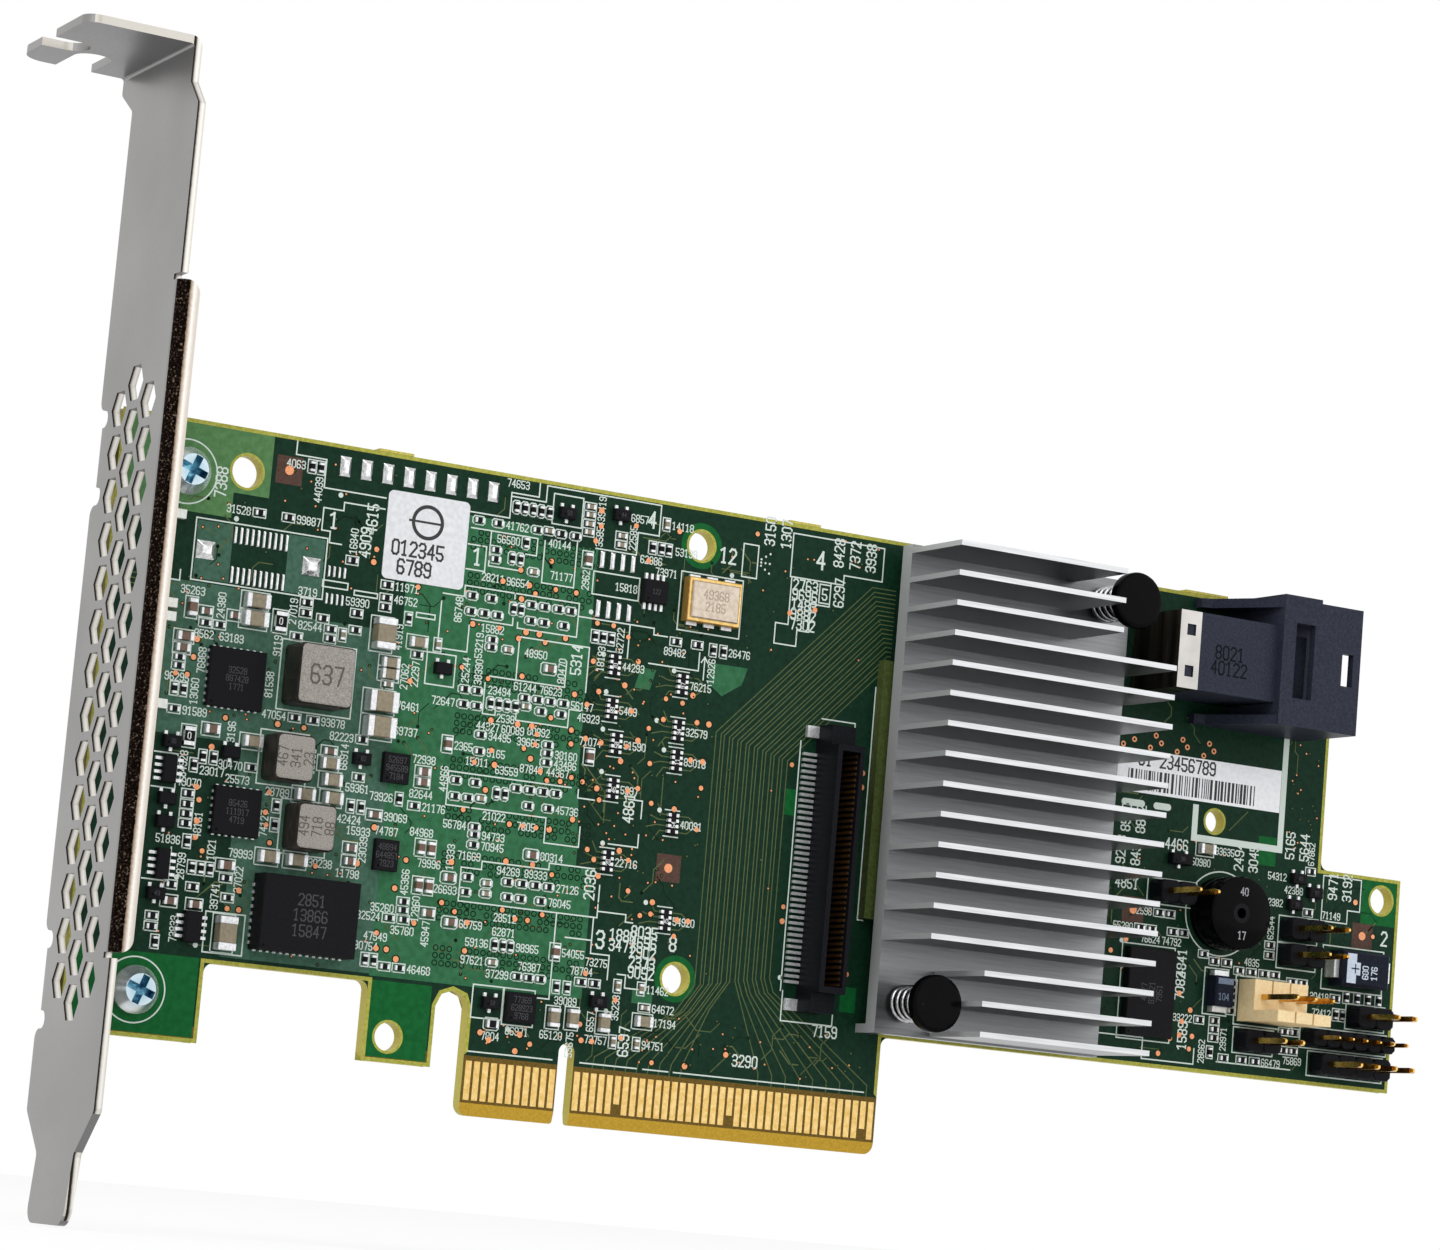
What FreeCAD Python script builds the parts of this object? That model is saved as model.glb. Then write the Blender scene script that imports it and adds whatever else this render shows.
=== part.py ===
import FreeCAD, Part
import math
import os

# Storage controller card, low-profile board on a full-height bracket.
# X runs along the board away from the bracket, Z is up, components face -Y.
# Origin: key notch centre, bottom edge of the contact tongue, middle of the board.

os.makedirs("parts", exist_ok=True)
V = FreeCAD.Vector

# ---- driving dimensions, mm ----
BOARD_LEFT = -57.65
BOARD_RIGHT = 110.0
BOARD_TOP = 68.9
BOARD_THICK = 1.57
BOARD_BOTTOM = 13.1
STEP_IN = 11.93
REAR_GROUP = 17.0
DESIGN_RIGHT = 110.0
STEP_Z = 38.6
FOOT_BOTTOM = 4.7
TONGUE_LEFT = -12.15
TONGUE_RIGHT = 39.15
KEY_HALF = 0.95
KEY_TOP = 8.7
BEVEL_HIGH = 1.3
BEVEL_DEEP = 0.35
FINGER_PITCH = 1.0
FINGER_WIDE = 0.7
FINGER_THICK = 0.04
FINGER_LOW = 1.65
FINGER_HIGH = 5.8
FINGER_SHORT_LOW = 2.75

SHEET = 0.86
BRACKET_OUT = BOARD_LEFT - 1.52
BRACKET_NEAR = -16.835
BRACKET_FAR = 1.715
BRACKET_BOTTOM = -14.75
BRACKET_TOP = 105.3
HEX_FLATS = 3.6
HEX_PITCH = 4.5
TAB_GRIP = 13.6

SCREW_R = 1.45
SCREW_HEAD_R = 2.5
SCREW_HEAD_H = 2.0
SCREW_X = BOARD_LEFT + 7.65
SCREW_Z = (63.3, 9.5)
HOLE_GAP = 0.15
FIT_GAP = 0.05

PACKAGE_H = 1.2
DIE_H = 0.7
PAD_H = 0.2
SINK_LEFT = 35.7
SINK_RIGHT = 65.4
SINK_BOTTOM = 13.3
SINK_TOP = 68.15
SINK_BASE = 2.0
FIN_COUNT = 17
FIN_PITCH = 3.348
FIN_THICK = 0.6
FIN_TOP = 14.5
PIN_AT = ((39.1, 16.8), (61.7, 64.9))
PIN_R = 1.45
PIN_CAP_R = 3.2
PIN_CAP_LOW = 10.2
PIN_CAP_HIGH = 11.5
WIRE_R = 0.27
COIL_R = 1.86
COIL_TURNS = 5
COIL_STEPS = 10

HEADER_BASE_H = 2.5
PIN_WIDE = 0.64
PIN_TAIL = 1.6
PIN_ROOM = 0.08

FACE = -BOARD_THICK / 2
BACK = BOARD_THICK / 2
STEP_X = BOARD_RIGHT - STEP_IN
SHEET_IN = BRACKET_OUT + SHEET
BASE_BACK = PACKAGE_H + DIE_H + PAD_H
BASE_FRONT = BASE_BACK + SINK_BASE


# ---- helpers ----
def along(x):
    """Parts of the rear group keep their distance from the board's rear end."""
    return x + BOARD_RIGHT - DESIGN_RIGHT if x >= REAR_GROUP else x


def upright(x0, x1, z0, z1, low, high):
    """Box on the component face; low and high are heights above the board."""
    return Part.makeBox(x1 - x0, high - low, z1 - z0, V(x0, FACE - high, z0))


def block(x0, x1, z0, z1, low, high):
    return upright(along(x0), along(x1), z0, z1, low, high)


def centred(x, z, wide, tall, low, high):
    return block(x - wide / 2, x + wide / 2, z - tall / 2, z + tall / 2, low, high)


def drum(x, z, radius, low, high):
    """Round bar standing on the component face."""
    return Part.makeCylinder(radius, high - low, V(along(x), FACE - high, z), V(0, 1, 0))


def outline(points):
    """Closed wire through (vector, corner radius) pairs."""
    edges, ends = [], []
    count = len(points)
    for i, (here, radius) in enumerate(points):
        before = points[i - 1][0] - here
        after = points[(i + 1) % count][0] - here
        if radius <= 0:
            ends.append((here, here, None))
            continue
        half = before.getAngle(after) / 2
        reach = radius / math.tan(half)
        first = here + before.normalize() * reach
        last = here + after.normalize() * reach
        inward = (before + after).normalize()
        middle = here + inward * (radius / math.sin(half) - radius)
        ends.append((first, last, middle))
    for i, (first, last, middle) in enumerate(ends):
        if middle is not None:
            edges.append(Part.Arc(first, middle, last).toShape())
        following = ends[(i + 1) % count][0]
        if last.distanceToPoint(following) > 1e-4:
            edges.append(Part.makeLine(last, following))
    return Part.Wire(edges)


def slab_xz(points, y0, y1):
    """Prism along Y from (x, z, corner radius) points."""
    wire = outline([(V(x, y0, z), r) for x, z, r in points])
    return Part.Face(wire).extrude(V(0, y1 - y0, 0))


def slab_yz(points, x0, x1):
    wire = outline([(V(x0, y, z), r) for y, z, r in points])
    return Part.Face(wire).extrude(V(x1 - x0, 0, 0))


def slab_xy(points, z0, z1):
    wire = outline([(V(x, y, z0), r) for x, y, r in points])
    return Part.Face(wire).extrude(V(0, 0, z1 - z0))


def save(name, solids):
    shape = solids if isinstance(solids, Part.Shape) else Part.makeCompound(solids)
    shape.exportStep("parts/" + name + ".step")


# ---- pin headers: first pin x, row z, pins, pitch, pin width, pin height ----
HEADERS = (
    (75.1, 33.5, 2, 2.54, PIN_WIDE, 8.5), (94.0, 31.1, 2, 2.54, PIN_WIDE, 8.5),
    (94.0, 28.0, 2, 2.54, PIN_WIDE, 8.5), (88.5, 17.4, 2, 2.54, PIN_WIDE, 8.5),
    (104.6, 21.7, 2, 2.54, PIN_WIDE, 8.5), (97.9, 18.65, 6, 2.0, 0.5, 6.2),
    (99.57, 15.65, 4, 2.54, PIN_WIDE, 8.5),
)
FAN_X, FAN_Z, FAN_PITCH = 88.7, 22.5, 2.54
fan_spots = [(FAN_X + k * FAN_PITCH, FAN_Z, PIN_WIDE) for k in range(3)]
pin_spots = [(x + k * pitch, z, thick)
             for x, z, pins, pitch, thick, high in HEADERS for k in range(int(pins))]

# ---- circuit board ----
slot_r = (TONGUE_LEFT + 16.0) / 2
board = slab_xz([
    (BOARD_LEFT, FOOT_BOTTOM, 1.0), (-42.6, FOOT_BOTTOM, 1.4), (-42.6, 13.0, 1.0),
    (-24.0, 13.0, 1.0), (-24.0, FOOT_BOTTOM, 1.2), (-16.0, FOOT_BOTTOM, 1.0),
    (-16.0, 13.0, slot_r), (TONGUE_LEFT, 13.0, slot_r), (TONGUE_LEFT, 0, 1.0),
    (-KEY_HALF, 0, 0.3), (-KEY_HALF, KEY_TOP, KEY_HALF), (KEY_HALF, KEY_TOP, KEY_HALF),
    (KEY_HALF, 0, 0.3), (TONGUE_RIGHT, 0, 1.0), (TONGUE_RIGHT, BOARD_BOTTOM, 1.0),
    (BOARD_RIGHT, BOARD_BOTTOM, 1.0), (BOARD_RIGHT, STEP_Z, 1.2), (STEP_X, STEP_Z, 1.0),
    (STEP_X, BOARD_TOP, 0.6), (BOARD_LEFT, BOARD_TOP, 0.6)], -BOARD_THICK / 2, BOARD_THICK / 2)
for x0, x1 in ((-28.5, -24.5), (22.0, 26.0), (76.0, 82.0)):
    board = board.fuse(block(x0, x1, BOARD_TOP - 0.2, BOARD_TOP + 0.3, -BOARD_THICK, 0))
for side in (-1, 1):
    edge = side * BOARD_THICK / 2
    wedge = Part.Face(Part.makePolygon([
        V(TONGUE_LEFT - 1, edge, -0.1), V(TONGUE_LEFT - 1, edge, BEVEL_HIGH),
        V(TONGUE_LEFT - 1, edge - side * BEVEL_DEEP, -0.1), V(TONGUE_LEFT - 1, edge, -0.1)]))
    board = board.cut(wedge.extrude(V(TONGUE_RIGHT - TONGUE_LEFT + 2, 0, 0)))
ROUND_HOLES = [
    (-43.3, 64.3, 1.7), (11.1, 64.6, 1.6), (12.4, 16.9, 1.6), (-21.2, 7.4, 1.5),
    (107.3, 35.9, 1.6), (82.3, 42.5, 1.3), (-45.4, 55.4, 0.5), (-36.9, 55.4, 0.4),
]
ROUND_HOLES += [(SCREW_X, z, SCREW_R + HOLE_GAP) for z in SCREW_Z]
ROUND_HOLES += [(x, z, PIN_R + HOLE_GAP) for x, z in PIN_AT]
for x, z, r in ROUND_HOLES:
    board = board.cut(drum(x, z, r, -BOARD_THICK - 1, 1))
for x, z, thick in pin_spots + fan_spots:
    board = board.cut(centred(x, z, thick + PIN_ROOM, thick + PIN_ROOM, -BOARD_THICK - 1, 1))
save("circuit_board", board)

# ---- edge contacts on both faces of the tongue ----
fingers = []
for first, count in ((-11.5, 11), (1.5, 38)):
    for k in range(count):
        x = first + k * FINGER_PITCH
        low = FINGER_SHORT_LOW if first > 0 and k in (5, 19, 36) else FINGER_LOW
        left, right = x - FINGER_WIDE / 2, x + FINGER_WIDE / 2
        fingers.append(upright(left, right, low, FINGER_HIGH, 0, FINGER_THICK))
        fingers.append(upright(left, right, low, FINGER_HIGH, -BOARD_THICK - FINGER_THICK, -BOARD_THICK))
save("edge_contacts", fingers)

# ---- mounting bracket: vented sheet, top fixing tab, stiffening lip, two board tabs ----
LIP_LOW, LIP_HIGH, LIP_OUT = 12.2, 79.8, 3.18
LIP_ROOT = BRACKET_NEAR + 1.65
TAB_ROOT = BACK - 1.2
TAB_SPANS = ((6.5, 12.8), (60.4, 66.5))
lean = slab_xz([
    (SHEET_IN, -8.0, 0), (SHEET_IN, BRACKET_TOP, 1.2), (BRACKET_OUT - 11.63, BRACKET_TOP, 0),
    (BRACKET_OUT - 11.63, BRACKET_TOP - SHEET, 0), (BRACKET_OUT, BRACKET_TOP - SHEET, 0.35),
    (BRACKET_OUT, -8.0, 0), (BRACKET_OUT - 0.42, BRACKET_BOTTOM, 0),
    (SHEET_IN - 0.42, BRACKET_BOTTOM, 0)], BRACKET_NEAR - 1, BRACKET_FAR + 6)
front = slab_yz([
    (-2.33, BRACKET_BOTTOM, 1.8), (-12.53, BRACKET_BOTTOM, 1.8), (-12.53, -7.7, 0.8),
    (BRACKET_NEAR, -3.4, 0.8), (BRACKET_NEAR, LIP_LOW - 0.6, 0), (LIP_ROOT, LIP_LOW - 0.6, 0),
    (LIP_ROOT, LIP_HIGH + 0.6, 0), (BRACKET_NEAR, LIP_HIGH + 0.6, 0), (BRACKET_NEAR, 97.9, 0.4),
    (-14.235, 100.5, 0.4), (-14.235, BRACKET_TOP + 1, 0), (5.215, BRACKET_TOP + 1, 0),
    (5.215, 102.6, 0.6), (BRACKET_FAR, 100.3, 0.6), (BRACKET_FAR, 68.35, 1.1),
    (-0.6, 68.35, 0.9), (-0.6, 66.5, 0.9), (TAB_ROOT, 66.5, 0), (TAB_ROOT, 60.4, 0),
    (-0.6, 60.4, 0.9), (-0.6, 58.4, 0.9), (BRACKET_FAR, 58.4, 1.1), (BRACKET_FAR, 14.6, 1.1),
    (-0.6, 14.6, 0.9), (-0.6, 12.8, 0.89), (TAB_ROOT, 12.8, 0), (TAB_ROOT, 6.5, 0),
    (-0.6, 6.5, 0.9), (-0.6, 4.65, 0.9), (BRACKET_FAR, 4.65, 1.1), (BRACKET_FAR, -3.6, 0.8),
    (-2.33, -7.8, 1.2)], BRACKET_OUT - 13, SHEET_IN + 1)
bracket = lean.common(front)
lip = slab_xy([
    (BRACKET_OUT, LIP_ROOT, 0), (BRACKET_OUT, BRACKET_NEAR, 1.25),
    (BRACKET_OUT + LIP_OUT - SHEET, BRACKET_NEAR, 0),
    (BRACKET_OUT + LIP_OUT - SHEET, BRACKET_NEAR + SHEET, 0),
    (SHEET_IN, BRACKET_NEAR + SHEET, 0.39), (SHEET_IN, LIP_ROOT, 0)], LIP_LOW, LIP_HIGH)
lip_trim = slab_xz([
    (BRACKET_OUT - 1, LIP_LOW, 0), (BRACKET_OUT + LIP_OUT - SHEET, LIP_LOW, 1.4),
    (BRACKET_OUT + LIP_OUT - SHEET, LIP_HIGH, 1.4), (BRACKET_OUT - 1, LIP_HIGH, 0)],
    BRACKET_NEAR - 1, BRACKET_NEAR + 3)
bracket = bracket.fuse(lip.common(lip_trim))
for low, high in TAB_SPANS:
    tab = slab_xy([
        (BRACKET_OUT, TAB_ROOT, 0), (BRACKET_OUT, BACK + SHEET, 1.15),
        (BRACKET_OUT + TAB_GRIP, BACK + SHEET, 0), (BRACKET_OUT + TAB_GRIP, BACK, 0),
        (SHEET_IN, BACK, 0.3), (SHEET_IN, TAB_ROOT, 0)], low, high)
    trim = slab_xz([
        (BRACKET_OUT - 1, low, 0), (BRACKET_OUT + TAB_GRIP, low, 1.5),
        (BRACKET_OUT + TAB_GRIP, high, 1.5), (BRACKET_OUT - 1, high, 0)], TAB_ROOT - 1, BACK + 2)
    bracket = bracket.fuse(tab.common(trim))
for z in SCREW_Z:
    bracket = bracket.cut(drum(SCREW_X, z, SCREW_R + FIT_GAP, -BOARD_THICK - 3, 1))
hex_r = HEX_FLATS / math.sqrt(3)
for y, top, rows in ((-3.6, 68.0, 14), (-7.55, 70.25, 15), (-11.5, 68.0, 14)):
    for k in range(rows):
        z = top - k * HEX_PITCH
        turns = [math.pi * t / 3 for t in range(7)]
        corners = [V(BRACKET_OUT - 1, y + hex_r * math.cos(t), z + hex_r * math.sin(t)) for t in turns]
        bracket = bracket.cut(Part.Face(Part.makePolygon(corners)).extrude(V(3, 0, 0)))
screw_slot = slab_xy([
    (BRACKET_OUT - 14, -5.5, 0), (BRACKET_OUT - 7.23, -5.5, 2.05),
    (BRACKET_OUT - 7.23, -1.4, 2.05), (BRACKET_OUT - 14, -1.4, 0)],
    BRACKET_TOP - 3, BRACKET_TOP + 1)
side_slot = slab_xy([
    (BRACKET_OUT - 7.63, 8, 0), (BRACKET_OUT - 7.63, -2.1, 1.95),
    (BRACKET_OUT - 3.68, -2.1, 1.95), (BRACKET_OUT - 3.68, 8, 0)],
    BRACKET_TOP - 3, BRACKET_TOP + 1)
bracket = bracket.cut(screw_slot).cut(side_slot)
tab_edge = slab_xy([
    (BRACKET_OUT - 11.63, -14.235, 1.6), (SCREW_X, -14.235, 0),
    (SCREW_X, 5.215, 0), (BRACKET_OUT - 11.63, 5.215, 2.6)],
    BRACKET_TOP - 2.5, BRACKET_TOP + 1)
lower = Part.makeBox(TAB_GRIP + 30, 40, BRACKET_TOP - BRACKET_BOTTOM + 7.6,
                     V(BRACKET_OUT - 20, -25, BRACKET_BOTTOM - 10))
bracket = bracket.common(tab_edge.fuse(lower)).removeSplitter()
save("mounting_bracket", bracket)

# ---- bracket screws: pan head, cross recess, shank through board and tab ----
screws = []
for z in SCREW_Z:
    profile = Part.Wire([
        Part.makeLine(V(0, 0, 0), V(SCREW_HEAD_R, 0, 0)),
        Part.makeLine(V(SCREW_HEAD_R, 0, 0), V(SCREW_HEAD_R, -0.6, 0)),
        Part.makeLine(V(SCREW_HEAD_R, -0.6, 0), V(SCREW_HEAD_R * 0.65, -SCREW_HEAD_H, 0)),
        Part.makeLine(V(SCREW_HEAD_R * 0.65, -SCREW_HEAD_H, 0), V(0, -SCREW_HEAD_H, 0)),
        Part.makeLine(V(0, -SCREW_HEAD_H, 0), V(0, 0, 0))])
    head = Part.Face(profile).revolve(V(0, 0, 0), V(0, 1, 0), 360)
    head.translate(V(SCREW_X, FACE, z))
    screw = head.fuse(drum(SCREW_X, z, SCREW_R, -BOARD_THICK - SHEET - 1.2, 0.1))
    for turn in (20, 110):
        arm = Part.makeBox(3.1, 1.5, 0.8, V(-1.55, -SCREW_HEAD_H - 0.1, -0.4))
        arm.rotate(V(0, 0, 0), V(0, 1, 0), turn)
        arm.translate(V(SCREW_X, FACE, z))
        screw = screw.cut(arm)
    screws.append(screw)
save("bracket_screws", screws)

# ---- controller chip stack and heatsink ----
save("controller_substrate", block(34.95, 64.0, 26.0, 55.1, 0, PACKAGE_H))
save("controller_die", centred(49.5, 40.55, 14, 14, PACKAGE_H, PACKAGE_H + DIE_H))
save("thermal_pad", centred(49.5, 40.55, 16, 16, PACKAGE_H + DIE_H, BASE_BACK))

sink = block(SINK_LEFT, SINK_RIGHT, SINK_BOTTOM, SINK_TOP, BASE_BACK, BASE_FRONT)
for k in range(FIN_COUNT):
    z = SINK_TOP - 1.05 - k * FIN_PITCH
    left = PIN_AT[0][0] + PIN_CAP_R + 0.6 if k >= FIN_COUNT - 3 else SINK_LEFT
    right = PIN_AT[1][0] - PIN_CAP_R - 0.6 if k < 3 else SINK_RIGHT
    sink = sink.fuse(block(left, right, z, z + FIN_THICK, BASE_FRONT - 0.2, FIN_TOP))
sink = sink.fuse(block(SINK_LEFT, SINK_LEFT + 2, SINK_BOTTOM, SINK_BOTTOM + 1, 0, BASE_BACK + 0.2))
sink = sink.fuse(block(SINK_RIGHT - 2, SINK_RIGHT, SINK_TOP - 1, SINK_TOP, 0, BASE_BACK + 0.2))
for x, z in PIN_AT:
    sink = sink.cut(drum(x, z, PIN_R + HOLE_GAP, 0.5, BASE_FRONT + 1))
save("heatsink", sink.removeSplitter())

push_pins, springs = [], []
for x, z in PIN_AT:
    cap = drum(x, z, PIN_CAP_R, PIN_CAP_LOW, PIN_CAP_HIGH)
    middle = along(x)
    barb = Part.makeCone(PIN_R + 0.6, 0.9, 2.0, V(middle, BACK + 0.1, z), V(0, 1, 0))
    push_pins.append(cap.fuse([drum(x, z, PIN_R, -BOARD_THICK - 0.2, PIN_CAP_LOW + 0.2), barb]))
    climb = PIN_CAP_LOW - BASE_FRONT - 2 * WIRE_R
    sections = []
    for step in range(COIL_TURNS * COIL_STEPS + 1):
        turn = 2 * math.pi * step / COIL_STEPS
        y = FACE - BASE_FRONT - WIRE_R - climb * step / (COIL_TURNS * COIL_STEPS)
        ring = [(COIL_R - WIRE_R, 0), (COIL_R, -WIRE_R), (COIL_R + WIRE_R, 0), (COIL_R, WIRE_R)]
        corners = [V(middle + r * math.cos(turn), y + rise, z + r * math.sin(turn)) for r, rise in ring]
        sections.append(Part.makePolygon(corners + corners[:1]))
    springs.append(Part.makeLoft(sections, True, True))
save("heatsink_push_pins", push_pins)
save("heatsink_springs", springs)

# ---- storage connector: shroud, plug block, sheet shield, contacts ----
SAS_OUT = DESIGN_RIGHT - STEP_IN - 4.12
SAS_IN = SAS_OUT - 11.25
SAS_LOW, SAS_HIGH = 53.5, 68.3
SAS_TOP, CORE_TOP, SAS_WALL = 10.6, 9.5, 1.0
CORE_LOW, CORE_HIGH = SAS_LOW + 2.6, SAS_HIGH - 3.2
SHIELD_LEFT, SHIELD_RIGHT, SHIELD_THICK = SAS_IN - 13.7, SAS_IN - 10.8, 0.25
shroud = block(SAS_IN, SAS_OUT, SAS_LOW, SAS_HIGH, 0, SAS_TOP)
shroud = shroud.fuse(block(SAS_IN, SAS_IN + 5.3, SAS_HIGH - 0.1, SAS_HIGH + 0.45, 0, SAS_TOP))
plug_room = block(SAS_IN + 1.2, SAS_OUT + 1, SAS_LOW + 1.6, SAS_HIGH - 1.6, SAS_WALL, SAS_TOP - SAS_WALL)
core_room = block(SAS_IN - 1, SAS_IN + 2, CORE_LOW - FIT_GAP, CORE_HIGH + FIT_GAP, -1, CORE_TOP + FIT_GAP)
latch_slot = block(SAS_IN + 1.8, SAS_IN + 4.5, SAS_LOW + 3.3, SAS_HIGH - 2.7, CORE_TOP - 0.5, SAS_TOP + 1)
mouth_slot = block(SAS_OUT - 2.65, SAS_OUT - 1.05, SAS_LOW + 5.6, SAS_HIGH - 5.4, CORE_TOP - 0.5, SAS_TOP + 1)
shroud = shroud.cut([plug_room, core_room, latch_slot, mouth_slot])
foot = along(SAS_IN) - 5.2
root = along(SAS_IN) + 0.1
for z in (SAS_LOW, SAS_HIGH - 1.1):
    gusset = Part.Face(Part.makePolygon([
        V(foot, FACE, z), V(root, FACE, z), V(root, FACE - SAS_TOP + 0.1, z),
        V(foot + 1.1, FACE - 1.8, z), V(foot, FACE - 1.2, z), V(foot, FACE, z)]))
    shroud = shroud.fuse(gusset.extrude(V(0, 0, 1.1)))
save("sas_connector_shroud", shroud.removeSplitter())

CORE_TIP = SAS_OUT - 5.95
core = block(SHIELD_LEFT + SHIELD_THICK, SHIELD_RIGHT, CORE_LOW + SHIELD_THICK, CORE_HIGH - SHIELD_THICK,
             0, CORE_TOP - SHIELD_THICK)
core = core.fuse(block(SHIELD_RIGHT, SAS_IN + 1.1, CORE_LOW, CORE_HIGH, 0, CORE_TOP))
core = core.fuse(block(SAS_IN, CORE_TIP, CORE_LOW + 0.6, CORE_HIGH - 0.6, SAS_WALL + 0.6, CORE_TOP - 1.6))
for low in (2.7, 5.9):
    core = core.cut(block(CORE_TIP - 4, CORE_TIP + 1, CORE_LOW + 1.2, CORE_HIGH - 1.2, low, low + 1.2))
save("sas_connector_core", core.removeSplitter())

shield = block(SHIELD_LEFT, SHIELD_RIGHT, CORE_LOW, CORE_HIGH, 0, CORE_TOP)
shield = shield.cut(block(SHIELD_LEFT + SHIELD_THICK, SHIELD_RIGHT + 1, CORE_LOW + SHIELD_THICK,
                          CORE_HIGH - SHIELD_THICK, -1, CORE_TOP - SHIELD_THICK))
for z in (CORE_LOW + 2.0, CORE_HIGH - 2.2):
    shield = shield.cut(centred(SHIELD_LEFT + 1.55, z, 1.2, 1.3, CORE_TOP - 1, CORE_TOP + 1))
save("sas_connector_shield", shield)

sas_contacts = []
for low in (2.7, 5.9):
    for k in range(9):
        sas_contacts.append(centred(CORE_TIP - 2.2, CORE_LOW + 1.7 + k * 0.7, 3.4, 0.35, low, low + 0.18))
save("sas_connector_contacts", sas_contacts)

# ---- flash module connector: slotted housing, contacts, leads, hold-downs ----
FLASH_LEFT, FLASH_RIGHT, FLASH_LOW, FLASH_HIGH, FLASH_TOP = 27.7, 31.1, 17.0, 44.5, 5.0
FLASH_FIRST, FLASH_PITCH, FLASH_ROWS = 18.05, 0.65, 40
housing = block(FLASH_LEFT, FLASH_RIGHT, FLASH_LOW, FLASH_HIGH, 0, FLASH_TOP)
card_slot = block(FLASH_LEFT + 0.6, FLASH_RIGHT - 0.5, FLASH_LOW + 0.7, FLASH_HIGH - 0.7, 0.9, FLASH_TOP + 1)
housing = housing.cut(card_slot)
EAR_LONG, EAR_TOP = 2.2, 3.4
for z in (FLASH_LOW - EAR_LONG, FLASH_HIGH):
    housing = housing.fuse(block(FLASH_LEFT, FLASH_RIGHT - 0.4, z, z + EAR_LONG, 0, EAR_TOP))
save("flash_connector_housing", housing.removeSplitter())
save("flash_connector_leads", [
    centred(FLASH_LEFT - 0.85, FLASH_FIRST + k * FLASH_PITCH, 1.7, 0.32, 0, 0.45) for k in range(FLASH_ROWS)])
save("flash_connector_contacts", [
    block(FLASH_RIGHT - 0.66, FLASH_RIGHT - 0.5, FLASH_FIRST + k * FLASH_PITCH - 0.15,
          FLASH_FIRST + k * FLASH_PITCH + 0.15, 0.9, FLASH_TOP - 0.6) for k in range(FLASH_ROWS)])
save("flash_connector_hold_downs", [
    block(FLASH_LEFT - 1.5, FLASH_LEFT, FLASH_HIGH + 0.8, FLASH_HIGH + 2.1, 0, 0.5),
    block(FLASH_LEFT - 1.5, FLASH_LEFT, FLASH_LOW - 2.1, FLASH_LOW - 0.8, 0, 0.5)])

# ---- buzzer ----
save("buzzer", drum(84.0, 31.8, 4.3, 0, 4.3).cut(drum(84.0, 31.8, 0.65, 2.5, 5)))

# ---- power parts ----
def pressed_core(x, z, wide, tall, high):
    """Pressed powder block with its upright edges broken."""
    body = block(x, x + wide, z, z + tall, 0, high)
    upright = [e for e in body.Edges if abs(e.Vertexes[0].Y - e.Vertexes[1].Y) > high - 0.1]
    return body.makeChamfer(0.35, upright)


save("power_inductor_large", pressed_core(-37.0, 40.6, 6.3, 6.4, 4.2))
save("power_inductors_small", [
    pressed_core(x, z, 4.4, 4.85, 3.7) for x, z in ((-38.45, 32.5), (-35.35, 25.6))])
save("power_module", block(-38.0, -27.1, 14.9, 22.8, 0, 2.9))

# ---- integrated circuits: square flat packs, small-outline packs, transistors ----
QUAD_PACKS = ((-42.5, 42.5, 6.2, 6.2, 0.9), (-41.0, 28.8, 5.2, 5.0, 0.9), (-23.6, 26.3, 2.7, 3.3, 0.8),
              (-23.4, 35.55, 3.0, 3.2, 0.8), (-6.2, 11.9, 3.4, 3.2, 0.8))
save("quad_flat_chips", [centred(x, z, w, t, 0, h) for x, z, w, t, h in QUAD_PACKS])
SMALL_PACKS = ((-44.6, 16.5, 1.8, 3.2, 1.1), (5.5, 58.6, 2.9, 2.6, 1.0), (-48.8, 32.3, 1.5, 2.8, 0.9),
               (-48.5, 22.6, 1.4, 3.1, 0.9))
save("small_outline_chips", [centred(x, z, w, t, 0.05, h) for x, z, w, t, h in SMALL_PACKS])
TRANSISTORS = ((-5.9, 65.6), (-19.0, 46.8), (-9.8, 12.1), (0.7, 66.4), (3.0, 13.5), (-42.2, 34.9),
               (-27.4, 36.05), (-48.8, 35.2), (-48.7, 29.3), (-48.7, 26.9), (-48.9, 19.5), (94.6, 37.1),
               (97.1, 35.7), (94.3, 34.0))
transistors = [centred(x, z, 1.9, 1.25, 0.05, 0.95) for x, z in TRANSISTORS]
transistors.append(centred(77.5, 37.5, 2.9, 1.3, 0.05, 1.1))
save("transistors", transistors)
save("memory_chip", block(71.0, 77.6, 16.5, 26.7, 0, 1.2))

PAD_PITCH = 0.75
leads = []
for x, z, wide, tall, high in QUAD_PACKS[:2]:
    rows, columns = int((tall - 0.7) / PAD_PITCH), int((wide - 0.7) / PAD_PITCH)
    for side in (-1, 1):
        leads += [centred(x + side * (wide / 2 + 0.07), z + (k - rows / 2) * PAD_PITCH, 0.14, 0.28, 0, 0.3)
                  for k in range(rows + 1)]
        leads += [centred(x + (k - columns / 2) * PAD_PITCH, z + side * (tall / 2 + 0.07), 0.28, 0.14, 0, 0.3)
                  for k in range(columns + 1)]
leads += [centred(-38.08, 15.6 + k * PAD_PITCH, 0.16, 0.34, 0, 0.35) for k in range(9)]
leads += [centred(-37.4 + k * PAD_PITCH, 14.82, 0.34, 0.16, 0, 0.35) for k in range(14)]
save("chip_pads", leads)

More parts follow.
